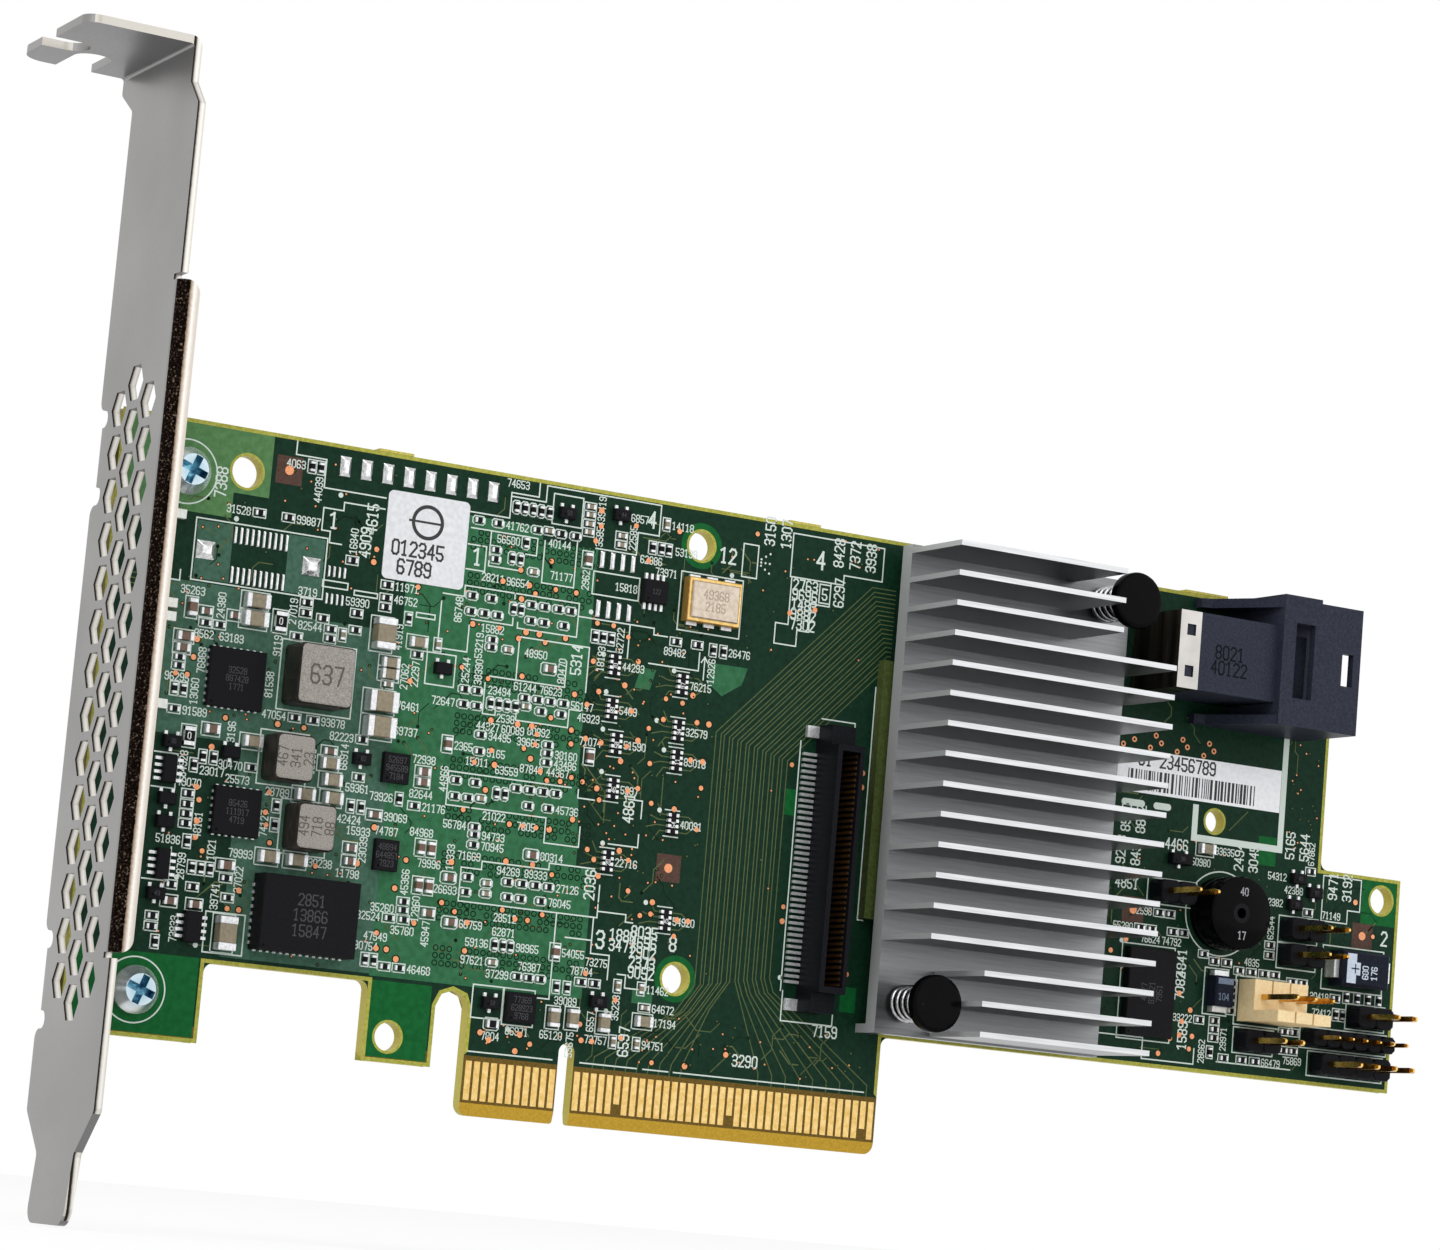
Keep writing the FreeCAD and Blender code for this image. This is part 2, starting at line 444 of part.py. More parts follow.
gull = []
for x, z, w, t, h in SMALL_PACKS:
    for side in (-1, 1):
        for k in range(4):
            step = (k - 1.5) * 0.7
            if w < t:
                gull.append(centred(x + side * (w / 2 + 0.4), z + step, 0.8, 0.32, 0, 0.35))
            else:
                gull.append(centred(x + step, z + side * (t / 2 + 0.35), 0.32, 0.7, 0, 0.35))
for x, z in TRANSISTORS + ((77.5, 37.5),):
    spread = 1.9 if x == 77.5 else 1.3
    for dx, dz in ((-spread / 2, 0.85), (spread / 2, 0.85), (0, -0.85)):
        gull.append(centred(x + dx, z + dz, 0.35, 0.4, 0, 0.3))
save("chip_leads", gull)

# ---- oscillator, tantalum and small polar parts ----
save("oscillator_base", block(9.3, 16.0, 56.0, 60.9, 0, 1.3))
save("oscillator_lid", block(9.7, 15.6, 56.4, 60.5, 1.3, 1.6))
save("tantalum_capacitor", block(100.3, 107.1, 25.1, 29.3, 0.1, 2.9))
save("tantalum_terminals", [block(x, x + 0.7, 26.0, 28.4, 0, 1.9) for x in (99.6, 107.1)])
save("polar_capacitor", block(82.8, 85.4, 20.95, 24.5, 0.05, 2.0))
save("polar_capacitor_terminals", [block(83.1, 85.1, z, z + 0.65, 0, 1.0) for z in (20.3, 24.5)])

# ---- pin headers ----
bases, pins = [], []
for x, z, places, pitch, wide, high in HEADERS:
    corner = min(0.35, pitch / 6)
    points = []
    count = int(places)
    for k in range(count):
        left = along(x) + (k - 0.5) * pitch
        points += [(left, z - pitch / 2 + corner, 0), (left + corner, z - pitch / 2, 0),
                   (left + pitch - corner, z - pitch / 2, 0)]
    points.append((along(x) + (count - 0.5) * pitch, z - pitch / 2 + corner, 0))
    for k in reversed(range(count)):
        left = along(x) + (k - 0.5) * pitch
        points += [(left + pitch, z + pitch / 2 - corner, 0), (left + pitch - corner, z + pitch / 2, 0),
                   (left + corner, z + pitch / 2, 0)]
    points.append((along(x) - 0.5 * pitch, z + pitch / 2 - corner, 0))
    base = slab_xz(points, FACE - HEADER_BASE_H, FACE)
    for k in range(count):
        base = base.cut(centred(x + k * pitch, z, wide, wide, -1, HEADER_BASE_H + 1))
        pins.append(centred(x + k * pitch, z, wide, wide, -BOARD_THICK - PIN_TAIL, high))
    bases.append(base)
save("header_bases", bases)
save("header_pins", pins)

# ---- three-way locking connector ----
FAN_LEFT, FAN_RIGHT, FAN_LOW, FAN_HIGH = 87.4, 95.05, 19.6, 24.5
locking = block(FAN_LEFT, FAN_RIGHT, FAN_LOW, FAN_HIGH, 0, 3.2)
locking = locking.fuse(block(FAN_LEFT, FAN_RIGHT, FAN_LOW, FAN_LOW + 1.3, 3.1, 8.0))
for k in (1, 2):
    x = FAN_LEFT + k * (FAN_RIGHT - FAN_LEFT) / 3
    locking = locking.cut(block(x - 0.12, x + 0.12, FAN_LOW - 1, FAN_LOW + 2, 3.6, 9))
    locking = locking.cut(block(x - 0.12, x + 0.12, FAN_HIGH - 2.0, FAN_HIGH + 1, 2.6, 4))
for x, z, thick in fan_spots:
    locking = locking.cut(centred(x, z, thick, thick, -1, 4))
save("locking_connector", locking)
save("locking_connector_pins", [
    centred(x, z, thick, thick, -BOARD_THICK - PIN_TAIL, 10.0) for x, z, thick in fan_spots])

# ---- chip capacitors: centre x, centre z, width, height, thickness ----
BIG_CAPS = (
    (-41.0, 50.9, 2.7, 1.5, 1.2), (-41.0, 49.0, 2.7, 1.6, 1.2), (-26.3, 49.5, 2.2, 3.3, 1.6),
    (-25.9, 42.3, 3.3, 2.2, 1.7), (-25.9, 39.6, 3.3, 2.2, 1.7), (-40.9, 16.2, 2.0, 3.5, 1.6),
    (-36.9, 24.6, 2.2, 1.3, 1.1), (-33.7, 24.6, 2.2, 1.3, 1.1), (-33.5, 31.5, 2.1, 1.3, 1.1),
    (-30.3, 31.5, 2.1, 1.3, 1.1), (-39.9, 36.3, 2.1, 1.2, 1.0), (-31.0, 35.1, 2.0, 1.2, 1.0),
    (-30.6, 33.4, 2.1, 1.3, 1.1), (-25.1, 46.6, 2.0, 1.1, 0.8), (-25.1, 45.4, 2.0, 1.1, 0.8),
    (-22.1, 49.2, 2.0, 1.1, 0.8), (81.2, 39.1, 2.1, 1.2, 0.9), (-2.1, 11.3, 1.2, 2.0, 0.9),
    (0.2, 11.4, 1.2, 2.0, 0.9), (4.0, 11.3, 1.2, 2.0, 0.9), (8.8, 11.9, 2.0, 1.2, 0.9),
)
MID_CAPS = (
    (-44.5, 37.0, 1.6, 0.9, 0.8), (-48.0, 49.3, 0.9, 1.8, 0.8), (-48.5, 46.2, 1.8, 0.9, 0.8),
    (-41.4, 23.2, 1.7, 0.9, 0.8), (-46.4, 49.1, 1.2, 0.7, 0.5), (-43.2, 49.1, 1.1, 0.7, 0.5),
    (-48.6, 45.0, 1.5, 0.8, 0.6), (-20.0, 35.6, 1.4, 0.8, 0.6), (-20.0, 34.5, 1.4, 0.8, 0.6),
    (-25.2, 30.4, 1.4, 0.7, 0.5), (-18.3, 27.6, 0.8, 1.4, 0.6), (-19.5, 27.6, 0.8, 1.4, 0.6),
    (-18.2, 23.6, 0.8, 1.4, 0.6), (-19.4, 23.6, 0.8, 1.4, 0.6), (-15.9, 24.8, 1.4, 0.8, 0.6),
    (-18.0, 20.8, 1.4, 0.8, 0.6), (-15.3, 20.1, 1.4, 0.8, 0.6), (-6.4, 28.3, 1.4, 0.8, 0.6),
    (-6.3, 48.5, 1.4, 0.8, 0.6), (-2.8, 61.0, 0.8, 1.4, 0.6), (-0.5, 39.7, 0.8, 1.4, 0.6),
    (-2.5, 18.3, 0.8, 1.4, 0.6), (-17.5, 38.9, 0.8, 1.4, 0.6), (-31.0, 36.4, 1.4, 0.7, 0.5),
    (-47.2, 18.9, 1.4, 0.8, 0.6), (-44.4, 18.8, 1.4, 0.8, 0.6), (-27.6, 26.6, 1.2, 0.8, 0.6),
    (-27.6, 25.2, 1.2, 0.8, 0.6),
)
save("large_capacitors", [centred(x, z, w, t, 0, h) for x, z, w, t, h in BIG_CAPS])
save("medium_capacitors", [centred(x, z, w, t, 0, h) for x, z, w, t, h in MID_CAPS])

# ---- smallest chip parts in rows: x places, z places, lying or upright ----
CHIP_LONG, CHIP_WIDE, CHIP_TALL = 1.05, 0.52, 0.38
RES_ROWS = (
    ((-16.2, -13.9, -9.1, -7.5, -5.8, -4.3), (55.1,), 0),
    ((-16.2, -14.6, -13.0, -9.0, -7.4, -5.0), (53.4,), 0),
    ((-16.1, -14.6, -8.9, -7.3, -5.8, -4.2), (45.0,), 0), ((-16.1, -14.5), (43.4, 33.5), 0),
    ((-16.1, -13.8, -8.9, -7.3, -5.7, -4.1), (35.2,), 0), ((-7.3, -4.9), (33.5,), 0),
    ((-13.7, -8.9, -7.2, -5.6, -4.0), (25.1,), 0), ((-13.8, -8.8, -7.2, -4.8), (23.5,), 0),
    ((-16.2, -13.9, -9.2, -6.3, -4.5), (63.3,), 0), ((-13.9,), (60.4, 59.4), 0),
    ((-11.9, -10.9, -9.9, -8.9, -7.9), (65.4,), 1), ((-11.9, -10.9), (59.8,), 1), ((-10.4,), (61.7,), 1),
    ((5.0, 6.1, 7.0), (63.5,), 1), ((-11.2, -10.3), (54.4,), 1), ((-1.1, -0.1, 0.9), (52.8,), 1),
    ((-13.4,), (50.7, 49.9), 0), ((13.6, 14.9), (53.3,), 1), ((8.9, 11.6), (53.6,), 0),
    ((-12.9, -11.9, -10.9, -9.9), (43.9,), 1), ((-6.8, -4.4), (43.8,), 0), ((-13.7,), (40.4, 38.6), 0),
    ((-5.6,), (40.3, 39.4, 38.4), 0), ((-11.2, -10.2), (34.4,), 1), ((-13.4,), (30.5, 29.7, 28.6), 0),
    ((-9.8, -8.8, -7.9), (18.3,), 1), ((-6.8, -5.4, -4.0), (15.2,), 0), ((-2.0, -0.7), (14.6,), 1),
    ((0.9, 2.6), (15.4,), 0), ((-36.1, -35.1), (66.0,), 1), ((-41.5, -38.2), (60.2,), 0),
    ((-30.5,), (56.8,), 0), ((-26.2,), (54.8, 53.4, 52.4), 0), ((-23.4, ), (51.6,), 1),
    ((-29.4,), (51.3, 49.5), 0), ((-33.2,), (50.2,), 0), ((-35.2,), (51.6, 50.5), 0),
    ((-32.2,), (49.2, 48.2), 0), ((-36.0, -46.3, -44.7, -22.0), (47.9,), 0), ((-35.3, -33.2), (39.4,), 0),
    ((-48.8,), (44.0, 43.1, 38.6), 0), ((-49.0, -48.0), (40.7,), 1), ((-45.1, -43.9), (34.1,), 1),
    ((-46.0,), (33.1,), 1), ((-39.6,), (33.6,), 0), ((-28.0, -26.8), (31.0,), 1), ((-22.5,), (32.4,), 1),
    ((-20.7,), (31.9,), 0), ((-27.4,), (38.1, 34.1), 0), ((-46.3,), (30.1, 29.0, 28.0, 27.0), 0),
    ((-45.9,), (25.2,), 1), ((-36.4,), (30.0, 28.0), 1), ((-45.1, -44.1, -43.1), (22.6,), 1),
    ((-41.2,), (21.9,), 0), ((-44.8, -47.2), (20.6,), 0), ((-40.8,), (19.9,), 0),
    ((-48.9,), (17.2, 16.1), 0), ((-48.3,), (14.6,), 1), ((-24.7, -23.7), (15.2,), 1),
    ((-22.4, -20.7), (14.7,), 0), ((-22.4, -20.7), (19.8,), 0), ((-20.9,), (21.7, 20.8), 0),
    ((75.3, 76.9), (31.0,), 0), ((72.8, 74.4, 77.4, 79.0), (29.0,), 0), ((83.6, 85.4), (26.2,), 0),
    ((87.2, 89.0, 90.8, 92.4), (25.45,), 0), ((86.4,), (23.9, 23.1, 22.3, 21.5, 20.7), 0),
    ((82.0,), (19.2, 26.9), 0), ((84.2,), (19.3, 18.3, 17.3), 0), ((85.8, 88.4, 90.3), (15.1,), 0),
    ((83.8,), (15.6,), 1), ((94.9, 96.5), (24.9,), 0), ((94.2, 95.7), (19.0, 16.8), 0),
    ((101.6, 102.6), (21.7,), 1), ((101.4,), (23.6,), 0), ((103.0, 104.6, 106.2, 107.8), (23.9,), 1),
    ((96.6,), (38.2, 33.3), 0), ((91.4,), (28.9, 27.7), 0),
)
CAP_ROWS = (
    ((-7.8,), (63.4,), 0), ((-3.0,), (66.8, 65.9, 64.9, 64.0), 0), ((1.1,), (64.2, 63.2), 0),
    ((-9.2,), (58.7,), 0), ((-11.4,), (49.9, 24.7, 23.6), 0), ((-19.7,), (49.3,), 1), ((-8.7,), (44.1,), 0),
    ((-13.0,), (33.6,), 0), ((-9.9,), (16.4,), 0), ((5.4, 8.3), (15.4, 9.4), 1), ((8.9,), (13.4,), 0),
    ((-30.8,), (48.8,), 1), ((-25.1,), (44.3,), 0), ((6.5,), (66.3,), 1),
)


def small_chips(rows):
    made = []
    for xs, zs, upright in rows:
        wide, tall = (CHIP_WIDE, CHIP_LONG) if upright else (CHIP_LONG, CHIP_WIDE)
        made += [centred(x, z, wide, tall, 0, CHIP_TALL) for x in xs for z in zs]
    return made


save("small_resistors", small_chips(RES_ROWS))
save("small_capacitors", small_chips(CAP_ROWS))
save("marked_resistors", [centred(-38.0, 49.2, 1.25, 2.0, 0, 0.5), centred(-46.9, 36.0, 1.15, 1.9, 0, 0.5),
                          centred(-9.3, 9.9, 1.3, 0.8, 0, 0.5)])
ARRAYS = ((1.5, 50.0), (1.6, 45.2), (2.5, 41.5), (2.6, 36.6), (2.7, 28.7), (10.0, 49.0), (10.0, 43.9),
          (10.1, 40.6), (10.3, 33.7), (10.4, 23.1))
save("resistor_arrays", [centred(x, z, 1.3, 2.4, 0, 0.5) for x, z in ARRAYS])
save("indicator_lamps", [centred(x, z, 1.5, 0.95, 0, 0.8) for x, z in
                         ((-50.6, 58.7), (-50.6, 49.4), (-50.6, 48.0), (-50.6, 38.9))])

# ---- bare tinned pads of unfitted parts ----
pads = [centred(-32.3 + k * 2.5, 66.6, 1.3, 2.2, 0, 0.06) for k in range(8)]
for z in (57.5, 53.3):
    pads += [centred(-43.9 + k * 0.644, z, 0.34, 1.8, 0, 0.06) for k in range(10)]
pads += [centred(x, 55.45, 2.1, 2.0, 0, 0.06) for x in (-47.1, -35.1)]
pads += [centred(-1.0 + k * 1.27, z, 0.6, 1.9, 0, 0.06) for k in range(4) for z in (61.3, 55.9)]
pads += [centred(-33.0 + k * 0.6, z, 0.3, 1.2, 0, 0.06) for k in range(4) for z in (55.3, 52.4)]
save("bare_pads", pads)

# ---- paper labels ----
save("round_corner_label", slab_xz(
    [(-27.0, 55.5, 0.6), (-17.4, 55.5, 0.6), (-17.4, 65.0, 0.6), (-27.0, 65.0, 0.6)], FACE - 0.1, FACE))
save("strip_label", block(66.0, 91.4, 44.6, 49.6, 0, 0.1))
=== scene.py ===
"""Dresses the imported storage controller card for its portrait.

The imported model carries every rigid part. This script gives each of its nodes a material, swaps the
plain blocks of the small parts for finished ones, and adds what is printed, plated or etched on the
board. Lengths are millimetres in the part's own frame: X along the board, Z up, components face -Y.
"""
import math
import random

import bpy
from mathutils import Matrix, Vector


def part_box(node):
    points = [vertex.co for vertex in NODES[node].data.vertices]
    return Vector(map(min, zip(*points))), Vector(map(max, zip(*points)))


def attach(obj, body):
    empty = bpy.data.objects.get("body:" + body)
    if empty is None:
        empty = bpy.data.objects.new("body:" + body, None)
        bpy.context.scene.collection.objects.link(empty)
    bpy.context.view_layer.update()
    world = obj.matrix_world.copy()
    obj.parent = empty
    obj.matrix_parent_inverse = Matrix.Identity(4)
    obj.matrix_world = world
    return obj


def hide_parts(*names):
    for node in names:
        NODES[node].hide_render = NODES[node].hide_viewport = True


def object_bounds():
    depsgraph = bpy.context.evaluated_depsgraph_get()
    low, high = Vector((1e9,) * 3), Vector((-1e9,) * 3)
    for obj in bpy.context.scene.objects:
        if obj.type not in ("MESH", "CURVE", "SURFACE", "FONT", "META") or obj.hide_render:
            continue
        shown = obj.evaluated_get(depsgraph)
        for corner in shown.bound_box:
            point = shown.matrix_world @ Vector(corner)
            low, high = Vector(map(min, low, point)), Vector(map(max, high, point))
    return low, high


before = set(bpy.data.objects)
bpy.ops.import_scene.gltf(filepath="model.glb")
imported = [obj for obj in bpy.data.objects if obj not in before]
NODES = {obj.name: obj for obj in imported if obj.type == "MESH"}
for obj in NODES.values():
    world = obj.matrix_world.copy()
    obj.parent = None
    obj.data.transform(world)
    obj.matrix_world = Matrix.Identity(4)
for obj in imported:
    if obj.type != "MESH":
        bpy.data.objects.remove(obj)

CAD_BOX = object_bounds()
MM = 0.001


def box_mm(node):
    """Lowest and highest corner of a node in millimetres."""
    low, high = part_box(node)
    return Vector(low) / MM, Vector(high) / MM


# Places on the card, in millimetres.
FACE = box_mm("circuit_board")[0].y
BACK = box_mm("circuit_board")[1].y
CARD_LEFT, CARD_RIGHT, CARD_TOP = -57.65, 110.0, 68.9
TIP_BARE, TONGUE_BARE, SHOULDER = 1.35, 6.35, 13.1  # heights of the contact tip, the mask and the card's edge
SHEET_OUT, SHEET, LIP = -59.17, 0.86, 2.32  # bracket in X: outer face, thickness, reach of the stiffening lip
LIP_FRONT, LIP_FOOT, LIP_HEAD = -15.2, 12.1, 79.9  # where the lip begins in Y and in Z, and where it ends
SCREWS = ((-50.0, 63.3), (-50.0, 9.5))
HOLES = ((-43.3, 64.3, 1.7), (11.1, 64.6, 1.6), (12.4, 16.9, 1.6), (-21.2, 7.4, 1.5),
         (107.3, 35.9, 1.6), (82.3, 42.5, 1.3))
BUZZER = (84.0, 31.8)
BUZZER_PIN = 2.54  # from the buzzer's centre

# ---- materials ----
def linear(code):
    """Turns a hex colour, as the eye sees it, into the linear numbers that a shader takes."""
    parts = [int(code[k:k + 2], 16) / 255 for k in (0, 2, 4)]
    return tuple(p / 12.92 if p <= 0.04045 else ((p + 0.055) / 1.055) ** 2.4 for p in parts) + (1,)


class Surface:
    """A material under construction; its methods add nodes and return their outputs."""

    def __init__(self, name, rough=0.5, metal=0.0, shine=0.5):
        self.material = bpy.data.materials.new(name)
        self.material.use_nodes = True
        self.nodes = self.material.node_tree.nodes
        self.links = self.material.node_tree.links
        self.shader = self.nodes["Principled BSDF"]
        self.shader.inputs["Roughness"].default_value = rough
        self.shader.inputs["Metallic"].default_value = metal
        self.shader.inputs["Specular IOR Level"].default_value = shine
        self.place = self.nodes.new("ShaderNodeTexCoord").outputs["Object"]
        geometry = self.nodes.new("ShaderNodeNewGeometry")
        self.normal, self.smooth = geometry.outputs["True Normal"], geometry.outputs["Normal"]

    def noise(self, size, stretch=(1, 1, 1), detail=3):
        """Noise whose blots are about size millimetres across."""
        mapping = self.nodes.new("ShaderNodeMapping")
        mapping.inputs["Scale"].default_value = stretch
        self.links.new(self.place, mapping.inputs["Vector"])
        node = self.nodes.new("ShaderNodeTexNoise")
        node.inputs["Scale"].default_value = 1 / (size * MM)
        node.inputs["Detail"].default_value = detail
        self.links.new(mapping.outputs["Vector"], node.inputs["Vector"])
        return node.outputs["Fac"]

    def axis(self, vector, index):
        split = self.nodes.new("ShaderNodeSeparateXYZ")
        self.links.new(vector, split.inputs[0])
        return split.outputs[index]

    def math(self, kind, a, b=0.0):
        node = self.nodes.new("ShaderNodeMath")
        node.operation = kind
        for socket, value in ((node.inputs[0], a), (node.inputs[1], b)):
            if isinstance(value, (int, float)):
                socket.default_value = value
            else:
                self.links.new(value, socket)
        return node.outputs[0]

    def times(self, a, b):
        return self.math("MULTIPLY", a, b)

    def magnitude(self, a):
        return self.math("ABSOLUTE", a)

    def below(self, a, b):
        """1 where a is under b, otherwise 0."""
        return self.math("LESS_THAN", a, b)

    def above(self, a, b):
        """1 where a is over b, otherwise 0."""
        return self.math("GREATER_THAN", a, b)

    def ramp(self, factor, stops):
        """Colour ramp through (place, hex colour) stops."""
        node = self.nodes.new("ShaderNodeValToRGB")
        ramp = node.color_ramp
        while len(ramp.elements) < len(stops):
            ramp.elements.new(0.5)
        for element, (place, code) in zip(ramp.elements, stops):
            element.position = place
            element.color = linear(code)
        self.links.new(factor, node.inputs["Fac"])
        return node.outputs["Color"]

    def shades(self, factor, dark, light, low=0.3):
        """Two near colours: dark up to low, light from its mirror on."""
        return self.ramp(factor, ((low, dark), (1 - low, light)))

    def mix(self, factor, a, b):
        node = self.nodes.new("ShaderNodeMix")
        node.data_type = "RGBA"
        self.links.new(factor, node.inputs["Factor"])
        for socket, value in ((node.inputs["A"], a), (node.inputs["B"], b)):
            if isinstance(value, str):
                socket.default_value = linear(value)
            else:
                self.links.new(value, socket)
        return node.outputs["Result"]

    def paint(self, colour):
        self.links.new(colour, self.shader.inputs["Base Color"])

    def vary_rough(self, factor, low, high):
        node = self.nodes.new("ShaderNodeMapRange")
        node.inputs["To Min"].default_value = low
        node.inputs["To Max"].default_value = high
        self.links.new(factor, node.inputs["Value"])
        self.links.new(node.outputs["Result"], self.shader.inputs["Roughness"])

    def bump(self, factor, depth, strength=1.0):
        node = self.nodes.new("ShaderNodeBump")
        node.inputs["Distance"].default_value = depth * MM
        node.inputs["Strength"].default_value = strength
        self.links.new(factor, node.inputs["Height"])
        self.links.new(node.outputs["Normal"], self.shader.inputs["Normal"])


def plain(name, dark, light, size=0.6, rough=0.5, metal=0.0, depth=0.0, shine=0.5):
    """Material that wanders between two near colours, with matching roughness and optional relief."""
    made = Surface(name, rough, metal, shine)
    noise = made.noise(size)
    made.paint(made.shades(noise, dark, light, 0.35))
    made.vary_rough(noise, rough - 0.05, rough + 0.05)
    if depth:
        made.bump(noise, depth)
    return made.material


def board_mask():
    """Green solder mask on both faces, bare laminate on the tongue tip and on the cut edges."""
    made = Surface("solder mask", rough=0.35, shine=0.06)
    weave = made.noise(0.5, detail=2)
    mask = made.shades(weave, "0f2a1c", "163425")
    fine = made.noise(0.25)
    between = made.shades(fine, "5d481d", "735c28")
    tip = made.shades(fine, "b08c2c", "c69f3a")
    edge = made.shades(made.noise(0.2, (1, 6, 1)), "b0a548", "cdc267")
    height = made.axis(made.place, 2)
    flat = made.above(made.magnitude(made.axis(made.normal, 1)), 0.5)
    bare = made.mix(made.below(height, TIP_BARE * MM), between, tip)
    colour = made.mix(made.below(height, TONGUE_BARE * MM), mask, bare)
    colour = made.mix(made.above(height, (CARD_TOP + 0.02) * MM), colour, edge)
    made.paint(made.mix(flat, edge, colour))
    made.bump(weave, 0.004)
    return made.material


def nickel_sheet():
    """Satin nickel plate: sheared edges with painted shade beside the outer face and a painted highlight
    beyond it, a dark mottled painted reflection where the lip bends, and painted shade on faces turned down.
    """
    made = Surface("satin nickel", rough=0.34, metal=1.0)
    slow, grain = made.noise(22, detail=2), made.noise(0.35)
    x, y, z = (made.axis(made.place, k) for k in range(3))
    across, forward, upward = (made.axis(made.smooth, k) for k in range(3))
    from_outside = made.math("SUBTRACT", x, SHEET_OUT * MM)
    # flat faces of the sheet, on its upright part, on its top tab and on the two board tabs
    on_tab = made.below(x, (SHEET_OUT - 0.1) * MM)
    tab_face = made.times(on_tab, made.above(made.magnitude(upward), 0.45))
    board_tab = made.times(made.above(x, (SHEET_OUT + SHEET + 0.04) * MM),
                          made.above(made.magnitude(forward), 0.45))
    upright = made.above(made.magnitude(across), 0.45)
    flat = made.math("MAXIMUM", upright, made.math("MAXIMUM", board_tab, tab_face))
    # a sheared edge gets painted shade beside the outer face and a painted highlight beyond it
    sheets = made.math("DIVIDE", from_outside, SHEET * MM)
    depth = made.math("ADD", sheets, made.times(on_tab, 100.0))
    cut = made.ramp(made.math("ADD", depth, made.times(grain, 0.08)),
                    ((0.2, "2a2520"), (0.3, "8f8b85"), (0.42, "cfccc6"), (0.7, "e9e6df"), (1.0, "c8c4bc")))
    # painted reflection: the lip's bend is painted with the dark of the room near the sheet and its light
    # further out
    reach = made.math("ADD", made.math("DIVIDE", from_outside, LIP * MM), made.times(grain, 0.1))
    roll = made.ramp(reach, ((0.56, "6d5c4e"), (0.66, "b5a595"), (0.78, "ebe7e0"), (0.96, "c9c1b7")))
    # dark mottled painted reflection inside the bend
    dark_painted_reflection = made.ramp(made.noise(0.22), ((0.46, "0d0907"), (0.6, "261d18"), (0.72, "7d6c5d")))
    painted_bend_reflection = made.mix(made.above(reach, 0.56), dark_painted_reflection, roll)
    lip = made.times(made.below(forward, -0.3), made.below(y, LIP_FRONT * MM))
    lip = made.times(lip, made.times(made.above(z, LIP_FOOT * MM), made.below(z, LIP_HEAD * MM)))
    colour = made.mix(flat, cut, made.shades(slow, "8b8a89", "a09f9e"))
    colour = made.mix(lip, colour, painted_bend_reflection)
    # faces turned down take a darker copy of the sheet colour: painted shade
    made.paint(made.mix(made.below(upward, -0.7), colour, made.shades(slow, "6b6a6b", "8b8a8b")))
    made.vary_rough(made.noise(0.4), 0.28, 0.40)
    made.bump(made.noise(0.12), 0.0015)
    return made.material


def raw_aluminium():
    """Extruded aluminium with fine draw lines along the fins. Painted highlight on the fin tips, painted
    shade on the faces between them that look the same way, and painted light on the faces turned left.
    """
    made = Surface("raw aluminium", rough=0.36, metal=1.0)
    lines = made.noise(0.25, (0.05, 1, 1), detail=4)
    tips = box_mm("heatsink")[0].y + 1
    body, base = made.shades(lines, "929395", "a9aaac"), made.shades(lines, "727375", "878889")
    cut = made.shades(lines, "b7b9bb", "d0d1d3")
    facing = made.below(made.axis(made.normal, 1), -0.5)
    # fin tips get a painted highlight, the faces between them that look the same way get painted shade
    front = made.mix(made.below(made.axis(made.place, 1), tips * MM), base, cut)
    # faces turned left get a flat pale colour, painted light, with less metal
    flank = made.below(made.axis(made.normal, 0), -0.4)
    made.paint(made.mix(flank, made.mix(facing, body, front), "b4b6b7"))
    dull = made.math("SUBTRACT", 1.0, made.times(flank, 0.7))
    made.links.new(dull, made.shader.inputs["Metallic"])
    made.vary_rough(lines, 0.28, 0.45)
    made.bump(lines, 0.006)
    return made.material


def pressed_powder():
    """Inductor blocks: speckled grey tops, near-black sides."""
    made = Surface("pressed powder", rough=0.5, metal=0.2)
    grit = made.noise(0.14)
    top = made.shades(grit, "77726b", "a5a099")
    side = made.ramp(made.noise(0.6, (1, 1, 0.4)), ((0.35, "15100d"), (0.6, "2a211b"), (0.75, "5e4b3e")))
    made.paint(made.mix(made.below(made.axis(made.smooth, 1), -0.6), side, top))
    made.bump(grit, 0.02)
    return made.material


def connector_can():
    """Plated can of the storage connector: bright face, painted brown reflections down its flank."""
    made = Surface("plated can", rough=0.3, metal=0.85)
    bands = made.noise(1.6, (0.1, 1, 0.1), detail=2)
    # painted reflection: brown bands down the can's flank
    flank = made.ramp(bands, ((0.35, "2e2823"), (0.6, "5b524b"), (0.75, "8d857e")))
    face = made.shades(made.noise(3), "aba8a4", "bdbab6")
    made.paint(made.mix(made.below(made.axis(made.normal, 1), -0.5), flank, face))
    return made.material


def blued_screws():
    """Zinc screws: bright domed heads that pale towards the rim, and a blue cast in the cross recess with
    painted shade.
    """
    made = Surface("blued zinc", rough=0.26, metal=0.9)
    x, z = made.axis(made.place, 0), made.axis(made.place, 2)
    (ax, az), (bx, bz) = SCREWS
    dx = made.math("SUBTRACT", x, ax * MM)
    dz = made.math("SUBTRACT", made.magnitude(made.math("SUBTRACT", z, (az + bz) / 2 * MM)),
                   abs(az - bz) / 2 * MM)
    far = made.math("SQRT", made.math("ADD", made.times(dx, dx), made.times(dz, dz)))
    sunk = made.above(made.axis(made.place, 1), (box_mm("bracket_screws")[0].y + 0.25) * MM)
    # the cross recess is painted a darker blue: painted shade
    recess = made.times(sunk, made.below(far, 1.62 * MM))
    dome = made.ramp(made.math("DIVIDE", far, 3 * MM), ((0.0, "8fb4c4"), (0.5, "b9cbd4"), (0.7, "dfe4e7")))
    made.paint(made.mix(recess, dome, made.shades(made.noise(0.8), "1d4f70", "7fbcd2", 0.35)))
    made.bump(made.noise(0.6), 0.01)
    return made.material


